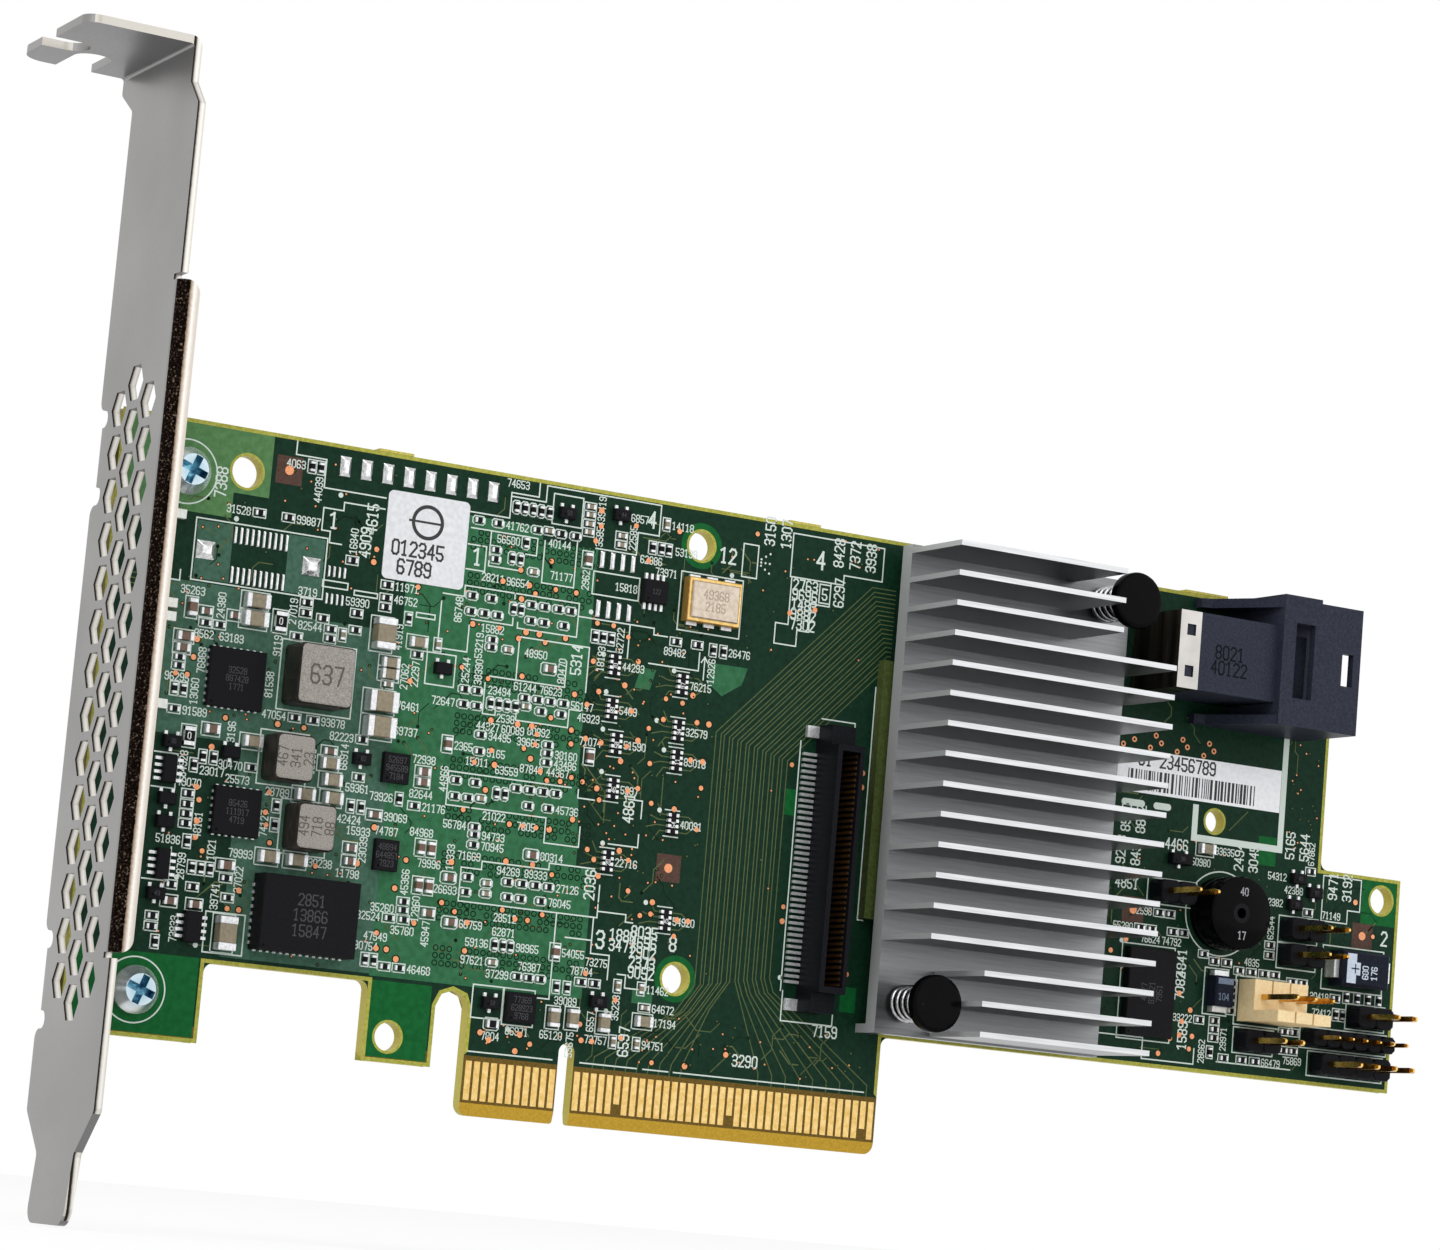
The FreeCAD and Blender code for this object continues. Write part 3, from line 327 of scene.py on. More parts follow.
MASK = board_mask()
NICKEL = nickel_sheet()
ALUMINIUM = raw_aluminium()
CAN = connector_can()
POUR = plain("mask over copper", "2c5f3e", "376e4c", 0.8, 0.35, shine=0.06)
BRIGHT_POUR = plain("bright mask over copper", "0c5426", "15602f", 0.8, 0.35, shine=0.06)
# pale green where the mask takes a painted sheen
SHEEN_POUR = plain("mask over copper with painted sheen", "4c7448", "5a8454", 0.8, 0.35, shine=0.06)
GREY_POUR = plain("greyed mask over copper", "3a5b49", "47695a", 0.5, 0.35, shine=0.06)
TRACK = plain("mask over tracks", "4c5a38", "5c6742", 0.4, 0.35, shine=0.06)
DARK_RING = plain("mask edge in shade", "0c1f13", "14291b", 0.3, 0.4, shine=0.04)
RIM_LAMINATE = plain("bare laminate", "98973a", "b0ae52", 0.3, 0.5, shine=0.1)
BARE_SQUARE = plain("bare resin", "4b372f", "58433a", 0.3, 0.5, shine=0.1)
SILK = plain("screen ink", "c4d1c9", "d8e3dc", 0.1, 0.6, shine=0.2)
GOLD = plain("hard gold", "d2ab5c", "e6c682", 0.5, 0.3, 0.6)
PIN_GOLD = plain("bright gold", "c99a45", "e8c06a", 0.5, 0.2, 1.0)
# darker gold for the contacts deep in the connector: painted shade
GOLD_IN_SHADE = plain("gold in painted shade", "3c2710", "5a3c18", 0.3, 0.4, 0.3)
COPPER = plain("bare copper", "db8954", "f2a676", 0.2, 0.4, 0.2)
TIN = plain("tinned metal", "c6c8ca", "e6e7e8", 0.25, 0.32, 0.6, 0.01)
ZINC = blued_screws()
GLOSS = plain("glossy black nylon", "040405", "070709", 0.6, 0.14, shine=0.04)
STEEL = plain("spring steel", "9a9a9c", "c4c4c6", 0.4, 0.25, 1.0)
LAMINATE = plain("package laminate", "3f4a24", "4e5a30", 0.3, 0.4, shine=0.1)
CHIP = plain("moulded black", "111113", "19191c", 0.12, 0.5, 0.0, 0.004, shine=0.07)
PAD = plain("thermal pad", "5c6b76", "6a7883", 0.4, 0.8)
SHELL = plain("blue black plastic", "272a35", "323643", 0.25, 0.42, 0.0, 0.004, shine=0.07)
DARK_SHELL = plain("black plastic", "0d0e12", "16171c", 0.25, 0.4, 0.0, 0.004, shine=0.06)
FERRITE = pressed_powder()
CERAMIC = plain("gilt ceramic base", "8f6c2e", "ac853f", 0.3, 0.45, 0.3)
LID = plain("champagne lid", "ad9f90", "c2b5a6", 0.5, 0.32, 1.0)
TANTALUM = plain("dark moulding", "141822", "1d222e", 0.3, 0.45, shine=0.06)
CREAM = plain("cream nylon", "e8cc9a", "f1daa9", 0.4, 0.5)
TAN = plain("khaki ceramic", "7a705a", "8d826b", 0.4, 0.4)
BROWN = plain("brown ceramic", "5a4233", "6d5241", 0.4, 0.4)
RESIST = plain("black glaze", "0d0d10", "151518", 0.3, 0.3, shine=0.08)
ALUMINA = plain("white alumina", "ccd0cd", "dfe3df", 0.3, 0.6)
LENS = plain("lamp lens", "dfe1da", "eef0ea", 0.5, 0.25)
# paler than the round label's paper: painted light that makes up for the heatsink fins' shadow
LIT_STRIP_PAPER = plain("glossy label paper with painted light", "ebedf1", "f6f7fa", 0.5, 0.4)
PAPER = plain("label paper", "d2d4d7", "dfe1e4", 0.5, 0.55)
CHIP_MARK = plain("chip mark", "3c3c3f", "4a4a4d", 0.2, 0.6, shine=0.15)
FERRITE_MARK = plain("engraved powder", "4a463f", "5c574e", 0.15, 0.7)
BUZZER_MARK = plain("moulded number", "8c8c90", "a0a0a4", 0.2, 0.5)
LID_MARK = plain("etched lid", "97897a", "a59788", 0.3, 0.45, 0.8)
SHELL_MARK = plain("moulded relief", "0b0c10", "12141a", 0.2, 0.5, shine=0.05)
STRIPE = plain("pale stripe", "b4c0d2", "c4cfde", 0.3, 0.5)
STRIPE_BLUE = plain("blue grey stripe", "55647a", "64748a", 0.3, 0.5)
SOLDER = plain("solder", "c2c3c4", "e4e4e4", 0.5, 0.22, 1.0, 0.05)
INK = plain("label ink", "1b1b1d", "29292b", 0.2, 0.6)

NODE_FINISH = {name: finish for finish, names in (
    (MASK, "circuit_board"), (NICKEL, "mounting_bracket"), (ZINC, "bracket_screws"), (ALUMINIUM, "heatsink"),
    (GOLD, "edge_contacts sas_connector_contacts header_pins locking_connector_pins"),
    (GOLD_IN_SHADE, "flash_connector_contacts"), (CAN, "sas_connector_shield"), (STEEL, "heatsink_springs"),
    (TIN, "flash_connector_leads flash_connector_hold_downs chip_pads chip_leads bare_pads"),
    (TIN, "tantalum_terminals polar_capacitor_terminals"), (GLOSS, "heatsink_push_pins buzzer"),
    (CHIP, "controller_die power_module quad_flat_chips small_outline_chips transistors memory_chip"),
    (LAMINATE, "controller_substrate"), (PAD, "thermal_pad"),
    (SHELL, "sas_connector_shroud sas_connector_core"),
    (DARK_SHELL, "flash_connector_housing header_bases"), (CREAM, "locking_connector"),
    (FERRITE, "power_inductor_large power_inductors_small"), (CERAMIC, "oscillator_base"),
    (LID, "oscillator_lid"), (TANTALUM, "tantalum_capacitor polar_capacitor"),
    (TAN, "large_capacitors medium_capacitors small_capacitors"),
    (RESIST, "small_resistors marked_resistors resistor_arrays"), (LENS, "indicator_lamps"),
    (PAPER, "round_corner_label"), (LIT_STRIP_PAPER, "strip_label"),
) for name in names.split()}
SOFT_EDGES = {"sas_connector_shroud": 0.25, "sas_connector_core": 0.15, "locking_connector": 0.22,
              "flash_connector_housing": 0.12, "circuit_board": 0.05, "sas_connector_shield": 0.12}


def dress_nodes():
    """Gives every CAD node its finish, and breaks the edges of the moulded ones."""
    for name, node in NODES.items():
        for slot in node.material_slots:
            slot.link = "OBJECT"
            slot.material = NODE_FINISH[name]
        if name in SOFT_EDGES:
            rounding = node.modifiers.new("edges", "BEVEL")
            rounding.width = SOFT_EDGES[name] * MM
            rounding.segments = 2
            rounding.limit_method = "ANGLE"
            rounding.angle_limit = math.radians(50)


# ---- meshes ----
# Strokes of the figures 0 to 9: each runs from (across, up) to (across, up) on a field 5 wide and 6 tall.
GLYPHS = (
    "1030 3041 4145 4536 3616 1605 0501 0110", "0526 2620 1030", "0516 1636 3645 4544 4400 0040",
    "0516 1636 3645 4544 4433 3313 3342 4241 4130 3010 1001", "3036 3602 0242",
    "4606 0603 0333 3342 4241 4130 3010 1001",
    "4536 3616 1605 0501 0110 1030 3041 4142 4233 3303", "0646 4620",
    "1333 3344 4445 4536 3616 1605 0504 0413 1302 0201 0110 1030 3041 4142 4233",
    "0110 1030 3041 4145 4536 3616 1605 0504 0413 1343",
)
GLYPH_PITCH, NARROW = 5.8, 0.72


def text_size(text, tall):
    """Length of a line of figures."""
    return len(text) * GLYPH_PITCH * tall / 6 * NARROW - tall * 0.2


def middle(low, high):
    """X and Z of the middle of a box."""
    return (low.x + high.x) / 2, (low.z + high.z) / 2


def corners(x0, x1, z0, z1, y):
    return [(x0, y, z0), (x1, y, z0), (x1, y, z1), (x0, y, z1)]


def circle(x, z, radius, y, steps):
    turns = [2 * math.pi * k / steps for k in range(steps)]
    return [(x + radius * math.cos(a), y, z + radius * math.sin(a)) for a in turns]


class Shape:
    """Gathers faces in millimetres; every face keeps the number of its material."""

    def __init__(self, behind=False):
        self.behind = behind
        self.points = []
        self.faces = []
        self.paint = []
        self.stroke = 0

    def add(self, points, faces, paint=0):
        base = len(self.points)
        self.points += [tuple(p) for p in points]
        for face in faces:
            numbers = [base + i for i in face]
            self.faces.append(numbers[::-1] if self.behind else numbers)
        self.paint += [paint] * len(faces)

    def level(self, height):
        """Y of a print that stands this high over its side of the board."""
        return BACK + height if self.behind else FACE - height

    def stack(self, rings, paint=0, closed=True):
        """Walls from the base ring of points to the top one, with a lid and, if closed, a base."""
        size = len(rings[0])
        last = size * (len(rings) - 1)
        faces = [tuple(range(last, last + size))]
        if closed:
            faces.append(tuple(reversed(range(size))))
        for ring in range(0, last, size):
            for k in range(size):
                after = (k + 1) % size
                faces.append((ring + k, ring + after, ring + size + after, ring + size + k))
        self.add([point for ring in rings for point in ring], faces, paint)

    def box(self, x0, x1, z0, z1, low, high, paint=0):
        """Box on the component side; low and high are heights above the board."""
        self.stack([corners(x0, x1, z0, z1, FACE - height) for height in (low, high)], paint)

    def turned(self, x, z, profile, steps=48, paint=0):
        """Round form on an axis across the board, through (radius, height) points from the base up."""
        self.stack([circle(x, z, radius, FACE - height, steps) for radius, height in profile], paint)

    def area(self, points, height, paint=0):
        """Printed polygon through (x, z) points, listed anticlockwise as seen from the front."""
        self.add([(x, self.level(height), z) for x, z in points], [tuple(range(len(points)))], paint)

    def plate(self, x0, x1, z0, z1, height, paint=0):
        """Printed rectangle."""
        self.area([(x0, z0), (x1, z0), (x1, z1), (x0, z1)], height, paint)

    def line(self, points, wide, height, paint=0):
        """Printed line through (x, z) points; strokes that cross lie a hair apart."""
        for (x0, z0), (x1, z1) in zip(points, points[1:]):
            self.stroke = (self.stroke + 1) % 7
            y = self.level(height + 0.0005 * self.stroke)
            run = math.hypot(x1 - x0, z1 - z0) or 1.0
            dx, dz = (x1 - x0) / run * wide / 2, (z1 - z0) / run * wide / 2
            ends = [(x0 - dx + dz, z0 - dz - dx), (x1 + dx + dz, z1 + dz - dx),
                    (x1 + dx - dz, z1 + dz + dx), (x0 - dx - dz, z0 - dz + dx)]
            self.add([(x, y, z) for x, z in ends], [(0, 1, 2, 3)], paint)

    def frame(self, x0, x1, z0, z1, wide, height, paint=0):
        self.line([(x0, z0), (x1, z0), (x1, z1), (x0, z1), (x0, z0)], wide, height, paint)

    def ring(self, x, z, inner, outer, height, steps=24, paint=0):
        y = self.level(height)
        points = circle(x, z, inner, y, steps) + circle(x, z, outer, y, steps)
        faces = []
        for k in range(steps):
            after = (k + 1) % steps
            faces.append((k, steps + k, steps + after, after))
        self.add(points, faces, paint)

    def dot(self, x, z, radius, height, steps=12, paint=0):
        self.add(circle(x, z, radius, self.level(height), steps), [tuple(range(steps))], paint)

    def write(self, text, x, z, tall, upright=False, height=None, pen=None, paint=0):
        """Plain numbers in single strokes, from (x, z), running right or, if upright, up the board."""
        step = tall / 6
        for place, sign in enumerate(text):
            for stroke in GLYPHS[int(sign)].split() if sign.isdigit() else ():
                points = []
                for k in (0, 2):
                    across = (int(stroke[k]) + place * GLYPH_PITCH) * step * NARROW
                    rise = int(stroke[k + 1]) * step
                    along = -across if self.behind else across
                    points.append((x - rise, z + across) if upright else (x + along, z + rise))
                self.line(points, pen or tall * 0.14, height or SILK_H, paint)

    def finish(self, name, slot, materials, bevel=0.0, replaces=(), smooth=False):
        """Makes the object and lets it ride on the part."""
        mesh = bpy.data.meshes.new(name)
        mesh.from_pydata([(x * MM, y * MM, z * MM) for x, y, z in self.points], [], self.faces)
        for material in materials:
            mesh.materials.append(material)
        mesh.polygons.foreach_set("material_index", self.paint)
        mesh.polygons.foreach_set("use_smooth", [smooth] * len(mesh.polygons))
        made = bpy.data.objects.new(name, mesh)
        bpy.context.scene.collection.objects.link(made)
        if bevel:
            rounding = made.modifiers.new("edges", "BEVEL")
            rounding.width = bevel * MM
            rounding.segments = 1
            rounding.limit_method = "ANGLE"
        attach(made, "root")
        if replaces:
            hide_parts(*replaces)
        return made


def islands(node):
    """Box of each separate solid of a node, as (lowest corner, highest corner) in millimetres."""
    mesh = NODES[node].data
    keys = {}
    parent = []

    def root(i):
        while parent[i] != i:
            parent[i] = parent[parent[i]]
            i = parent[i]
        return i

    where = []
    for vertex in mesh.vertices:
        key = tuple(round(c * 1e6) for c in vertex.co)
        if key not in keys:
            keys[key] = len(parent)
            parent.append(len(parent))
        where.append(keys[key])
    for polygon in mesh.polygons:
        first = root(where[polygon.vertices[0]])
        for i in polygon.vertices[1:]:
            parent[root(where[i])] = first
    groups = {}
    for key, index in keys.items():
        groups.setdefault(root(index), []).append(key)
    boxes = []
    for found in groups.values():
        ends = [[end(key[axis] for key in found) for axis in range(3)] for end in (min, max)]
        boxes.append(tuple(Vector(end) / 1000 for end in ends))
    return sorted(boxes, key=lambda pair: (round(pair[0].x, 2), round(pair[0].z, 2)))


def chip_parts(name, node, slot, materials, end_share, inset=0.03, bevel=0.03):
    """Two-ended chip parts: a body between metal ends, over each solid of the node."""
    shape = Shape()
    for low, high in islands(node):
        x0, x1, z0, z1, thick = low.x, high.x, low.z, high.z, high.y - low.y
        if x1 - x0 >= z1 - z0:
            end = (x1 - x0) * end_share
            shape.box(x0 + end, x1 - end, z0 + inset, z1 - inset, 0, thick - inset, 0)
            ends = ((x0, x0 + end, z0, z1), (x1 - end, x1, z0, z1))
        else:
            end = (z1 - z0) * end_share
            shape.box(x0 + inset, x1 - inset, z0 + end, z1 - end, 0, thick - inset, 0)
            ends = ((x0, x1, z0, z0 + end), (x0, x1, z1 - end, z1))
        for place in ends:
            shape.box(*place, 0, thick, 1)
    shape.finish(name, slot, materials, bevel, (node,))


def coil_springs():
    """Round-wire springs round the two push pins."""
    shape = Shape()
    turns, steps, sides, wire = 5, 24, 8, 0.26
    for low, high in islands("heatsink_springs"):
        x, z = middle(low, high)
        radius = (high.x - low.x) / 2 - wire
        bottom, top = high.y - wire, low.y + wire
        points, faces = [], []
        for k in range(turns * steps + 1):
            a = 2 * math.pi * k / steps
            y = bottom + (top - bottom) * k / (turns * steps)
            for s in range(sides):
                b = 2 * math.pi * s / sides
                r = radius + wire * math.cos(b)
                points.append((x + r * math.cos(a), y + wire * math.sin(b), z + r * math.sin(a)))
        for k in range(turns * steps):
            for s in range(sides):
                t = (s + 1) % sides
                faces.append((k * sides + s, k * sides + t, (k + 1) * sides + t, (k + 1) * sides + s))
        shape.add(points, faces)
    shape.finish("coil_springs", "spring_steel", [STEEL], replaces=("heatsink_springs",), smooth=True)


# ---- what is printed, plated and etched on the board ----
# Heights over the board, one just above the other so that none hides another by chance.
POUR_H, RIM_H, TRACK_H, RING_H, SILK_H, DOT_H = 0.004, 0.006, 0.008, 0.010, 0.014, 0.018
PART_NODES = (
    "small_resistors", "small_capacitors", "medium_capacitors", "large_capacitors", "marked_resistors",
    "resistor_arrays", "quad_flat_chips", "small_outline_chips", "transistors", "memory_chip", "power_module",
    "power_inductor_large", "power_inductors_small", "oscillator_base", "bare_pads", "header_bases",
    "tantalum_capacitor", "polar_capacitor", "locking_connector", "buzzer", "round_corner_label",
    "strip_label", "flash_connector_housing", "indicator_lamps", "controller_substrate",
)
PARTS = {node: islands(node) for node in PART_NODES}


def area_round(shape, x0, x1, z0, z1, hole, height, paint=0):
    """Printed rectangle with a round opening: quads from the hole's rim out to the rectangle."""
    hx, hz, radius = hole
    at_corners = [math.atan2(z - hz, x - hx) for x in (x0, x1) for z in (z0, z1)]
    angles = sorted([math.pi * (k + 0.5) / 16 - math.pi for k in range(32)] + at_corners)
    inner, outer = [], []
    for a in angles:
        c, s = math.cos(a), math.sin(a)
        reach_x = ((x1 if c > 0 else x0) - hx) / c if abs(c) > 1e-9 else 1e9
        reach_z = ((z1 if s > 0 else z0) - hz) / s if abs(s) > 1e-9 else 1e9
        reach = min(reach_x, reach_z)
        inner.append((hx + radius * c, hz + radius * s))
        outer.append((hx + reach * c, hz + reach * s))
    for k in range(len(angles)):
        after = (k + 1) % len(angles)
        shape.area([inner[k], outer[k], outer[after], inner[after]], height, paint)


def lay_pours():
    """Copper under the mask shows as lighter green: by paint 0 middle, 1 bright, 2 pale with a painted sheen,
    3 greyish.
    """
    shape = Shape()
    shape.area([(-24.0, 13.6), (1.2, 13.6), (1.2, 27.6), (-0.9, 27.6), (-0.9, 30.0), (-1.6, 38.5),
                (-1.6, 62.3), (-8.4, 62.3), (-8.4, 63.7), (-24.0, 63.7)], POUR_H, 0)
    shape.area([(13.4, 49.6), (15.2, 48.4), (17.6, 50.0), (18.2, 51.9), (13.4, 51.9)], POUR_H, 0)
    shape.area([(4.3, 47.9), (6.2, 47.9), (6.8, 50.2), (4.9, 50.2)], POUR_H, 0)
    for x0, x1, z0, z1, paint in (
            (-41.0, -24.0, 13.8, 50.0, 3), (-50.6, -41.0, 36.0, 52.0, 3), (-57.2, -43.2, 5.2, 13.4, 1),
            (-57.2, -44.6, 59.2, 61.9, 2), (-48.2, -44.2, 52.4, 58.5, 3), (-37.9, -33.7, 52.4, 58.5, 3),
            (24.3, 25.8, 36.4, 39.3, 1), (33.4, 35.4, 15.4, 18.2, 1), (88.8, 91.4, 38.2, 41.6, 1),
            (7.3, 9.8, 13.8, 15.2, 0)):
        shape.plate(x0, x1, z0, z1, POUR_H, paint)
    area_round(shape, -23.6, -16.6, 5.2, 13.2, HOLES[3], POUR_H, 1)
    # paint 2, round the top left hole and in the corner plate beside it, is a painted sheen
    area_round(shape, -57.2, -40.6, 61.9, 68.5, HOLES[0], POUR_H, 2)
    area_round(shape, 104.4, 109.5, 32.9, 38.2, HOLES[4], POUR_H, 1)
    for x, z, r in HOLES[1:3]:
        shape.ring(x, z, r + 0.3, r + 0.95, POUR_H, 32, 1)
    shape.finish("copper_pours", "board", [POUR, BRIGHT_POUR, SHEEN_POUR, GREY_POUR])


# Outline of the card, anticlockwise from the lower left foot. The second line rounds the notch beside the
# tongue, the third one follows the tongue.
RIM = (
    (CARD_LEFT, 4.7), (-42.6, 4.7), (-42.6, 13.0), (-24.0, 13.0), (-24.0, 4.7), (-16.0, 4.7),
    (-16.0, 11.2), (-15.4, 12.5), (-14.1, 13.0), (-12.7, 12.5), (-12.15, 11.2),
    (-12.15, TONGUE_BARE), (39.15, TONGUE_BARE), (39.15, SHOULDER),
    (CARD_RIGHT, SHOULDER), (CARD_RIGHT, 38.6), (98.07, 38.6), (98.07, CARD_TOP), (CARD_LEFT, CARD_TOP),
)


def lay_rim(name, behind):
    """The mask stops short of the cut edge, so a line of bare laminate shows all round."""
    shape = Shape(behind)
    wide = 0.42
    inner = []
    for (ax, az), (x, z), (bx, bz) in zip(RIM[-1:] + RIM[:-1], RIM, RIM[1:] + RIM[:1]):
        before, after = Vector((x - ax, z - az)).normalized(), Vector((bx - x, bz - z)).normalized()
        left = Vector((-before.y, before.x)) + Vector((-after.y, after.x))
        left = left.normalized() * wide / max(0.5, left.normalized().dot(Vector((-after.y, after.x))))
        inner.append((x + left.x, z + left.y))
    for k in range(len(RIM)):
        after = (k + 1) % len(RIM)
        if not RIM[k][1] == RIM[after][1] == TONGUE_BARE:
            shape.area([RIM[k], RIM[after], inner[after], inner[k]], RIM_H)
    for x, z, r in HOLES:
        shape.ring(x, z, r, r + 0.28, RIM_H, 32)
    shape.finish(name, "board", [RIM_LAMINATE])


def lay_tracks():
    """Lane bundle from the tongue to the controller, and the short runs round the resistor arrays."""
    shape = Shape()
    wide = 0.12
    for k in range(18):
        x = 14.9 + 0.54 * k + (0.12 if k % 2 else 0)
        low, bend, level = 16.5 + 0.1 * k, 44.4 - 0.12 * k, 63.2 - 0.5 * k
        if k < 9:
            start = [(3.2 + 1.35 * k, 6.2), (3.4 + 1.35 * k, 7.6), (x - 2.2, low - 3.2)]
        else:
            reach = 22.0 + 1.75 * (k - 8)
            start = [(reach, 6.2), (reach, 7.6), (x + 0.6, low - 1.5)]
        shape.line(start + [(x, low)], wide, TRACK_H)
        shape.line([(x, low), (x, bend), (x + (level - bend) / 1.02, level), (36.4, level)], wide, TRACK_H)
    for low, high in PARTS["resistor_arrays"]:
        x0, x1, z = low.x, high.x, (low.z + high.z) / 2
        for row, (left, right) in enumerate(((1.5, 2.6), (2.4, 1.6), (2.0, 2.1), (1.2, 2.9))):
            level = z - 0.9 + 0.6 * row
            drop = (row - 1.5) * 0.7
            shape.line([(x0, level), (x0 - left / 2, level), (x0 - left, level + drop)], wide, TRACK_H)
            shape.line([(x1, level), (x1 + right / 2, level), (x1 + right, level - drop)], wide, TRACK_H)
    for k in range(5):
        level = 52.0 - 0.55 * k
        shape.line([(-57.0, level), (-52.0, level), (-49.4, level - 2.4)], 0.14, TRACK_H)
    shape.finish("signal_tracks", "board", [TRACK])


def wander(draw, x, z, shortest, longest):
    """Path of two to four steps from (x, z) that goes straight on or turns by 45 degrees."""
    path, turn = [(x, z)], draw.choice((0, 2, 4, 6))
    for _ in range(draw.randint(2, 4)):
        turn += draw.choice((-1, 0, 1))
        reach = draw.uniform(shortest, longest)
        x, z = x + reach * math.cos(turn * math.pi / 4), z + reach * math.sin(turn * math.pi / 4)
        path.append((x, z))
    return path


def lay_runs(draw):
    """Short bent tracks among the parts."""
    shape = Shape()
    fields = ((-51.0, -25.0, 14.5, 62.0, 210), (-24.0, 12.0, 14.0, 67.0, 150), (67.0, 108.0, 14.5, 37.0, 150),
              (12.0, 21.0, 57.0, 67.0, 14), (40.0, 96.0, 37.0, 67.0, 60), (-11.0, 37.0, 7.0, 14.0, 40))
    for x0, x1, z0, z1, count in fields:
        for _ in range(count):
            path = wander(draw, draw.uniform(x0, x1), draw.uniform(z0, z1), 0.5, 1.9)
            if all(x0 < x < x1 and z0 < z < z1 and not blocked(x, z, 0.1) for x, z in path):
                shape.line(path, draw.choice((0.1, 0.12, 0.16)), TRACK_H, draw.choice((0, 0, 1)))
                shape.dot(*path[-1], 0.22, TRACK_H + 0.001, 10, 1)
    shape.finish("short_tracks", "board", [TRACK, DARK_RING])


def clear_behind(x, z, pins):
    """True where the solder side is free of screw tabs, pins, holes and the card's edge."""
    inside = -56.8 < x < 109.2 and (7.2 if -11.0 < x < 38.0 else 13.9) < z < 68.2
    inside = inside and not (x > 97.2 and z > 37.8)
    under_tab = any(-57.6 < x < -43.6 and level - 4.6 < z < level + 4.6 for level in (9.6, 63.4))
    return inside and not under_tab and all(math.hypot(x - a, z - b) > 2.6 for a, b in pins)


def lay_back(draw):
    """Solder side: copper areas, lanes, vias under the mask, part numbers without parts."""
    shape = Shape(behind=True)
    for x0, x1, z0, z1, paint in ((-56.9, -24.6, 14.0, 58.5, 4), (-24.0, 8.0, 14.0, 61.5, 3),
                                  (67.5, 95.5, 14.0, 33.5, 4), (-43.0, -24.6, 59.2, 62.0, 5)):
        shape.plate(x0, x1, z0, z1, POUR_H, paint)
    for k in range(26):
        x, foot = 17.0 + 0.66 * k + (0.2 if k % 2 else 0), 12.4 + 0.1 * k
        start, level = x * 0.96 + 0.6, 52.6 - 0.4 * k
        shape.line([(start, 6.8), (start, foot), (x, 20.0 + 0.5 * k), (x, level - 5.6),
                    (x + 5.5, level), (36.0 + 0.5 * k, level)], 0.14, TRACK_H, 1)
    pins = [(x, z) for x, z, r in HOLES]
    for node in ("header_pins", "locking_connector_pins", "heatsink_push_pins"):
        pins += [middle(*pin) for pin in islands(node)]
    for rows in RING_ROWS:
        for z in (rows[0], rows[1], rows[1] - 0.8, rows[1] - 1.6):
            for k in range(26):
                x = -18.0 + 0.8 * k
                if clear_behind(x, z, pins) and draw.random() < 0.9:
                    shape.ring(x, z, 0.2, 0.34, RING_H, 12, 1)
                    shape.dot(x, z, 0.2, RING_H, 8, 2)
    for _ in range(900):
        x, z = draw.uniform(-56.0, 109.0), draw.uniform(7.5, 68.0)
        if clear_behind(x, z, pins):
            shape.dot(x, z, 0.26, RING_H, 10, 2)
            shape.dot(x, z, 0.13, DOT_H, 8, draw.choice((0, 1, 1)))
    for _ in range(520):
        path = wander(draw, draw.uniform(-56.0, 109.0), draw.uniform(7.5, 68.0), 0.8, 3.2)
        if all(clear_behind(x, z, pins) for x, z in path):
            shape.line(path, draw.choice((0.12, 0.16)), TRACK_H + 0.004, 1)
    shape.finish("solder_side_copper", "board", [COPPER, TRACK, DARK_RING, POUR, GREY_POUR, BRIGHT_POUR])
    ink = Shape(behind=True)
    for (x, z, r), wide in zip(HOLES, (3.0, 2.9, 2.9, 2.5, 2.4, 2.6)):
        ink.ring(x, z, wide - 0.15, wide, SILK_H, 40)
    for x0, x1, z0, z1 in ((96.6, 109.4, 14.2, 19.9), (86.9, 95.4, 19.2, 24.9), (92.5, 98.2, 26.4, 32.6)):
        ink.frame(x0, x1, z0, z1, 0.16, SILK_H)
    for _ in range(150):
        x, z = draw.uniform(-55.0, 107.0), draw.uniform(15.0, 66.0)
        if all(clear_behind(*place, pins) for place in ((x, z), (x - 2.8, z), (x, z + 1))):
            ink.write(str(draw.randint(1001, 9999)), x, z, 0.85, draw.random() < 0.4)
    ink.finish("solder_side_print", "label_paper", [SILK])


def solder_joints():
    """Solder cones where the pins come through the board."""
    shape = Shape()
    thick = BACK - FACE
    for node in ("header_pins", "locking_connector_pins"):
        for low, high in islands(node):
            most = high.y - BACK
            shape.turned(*middle(low, high), (
                (0.78, -thick - 0.01), (0.62, -thick - 0.12), (0.4, -thick - most * 0.55),
                (0.34, -thick - most * 0.7)), 16)
    for side in (-BUZZER_PIN, BUZZER_PIN):
        shape.turned(BUZZER[0] + side, BUZZER[1],
                     ((0.85, -thick - 0.01), (0.6, -thick - 0.3), (0.3, -thick - 0.55)), 20)
    shape.finish("solder_joints", "tin", [SOLDER], smooth=True)


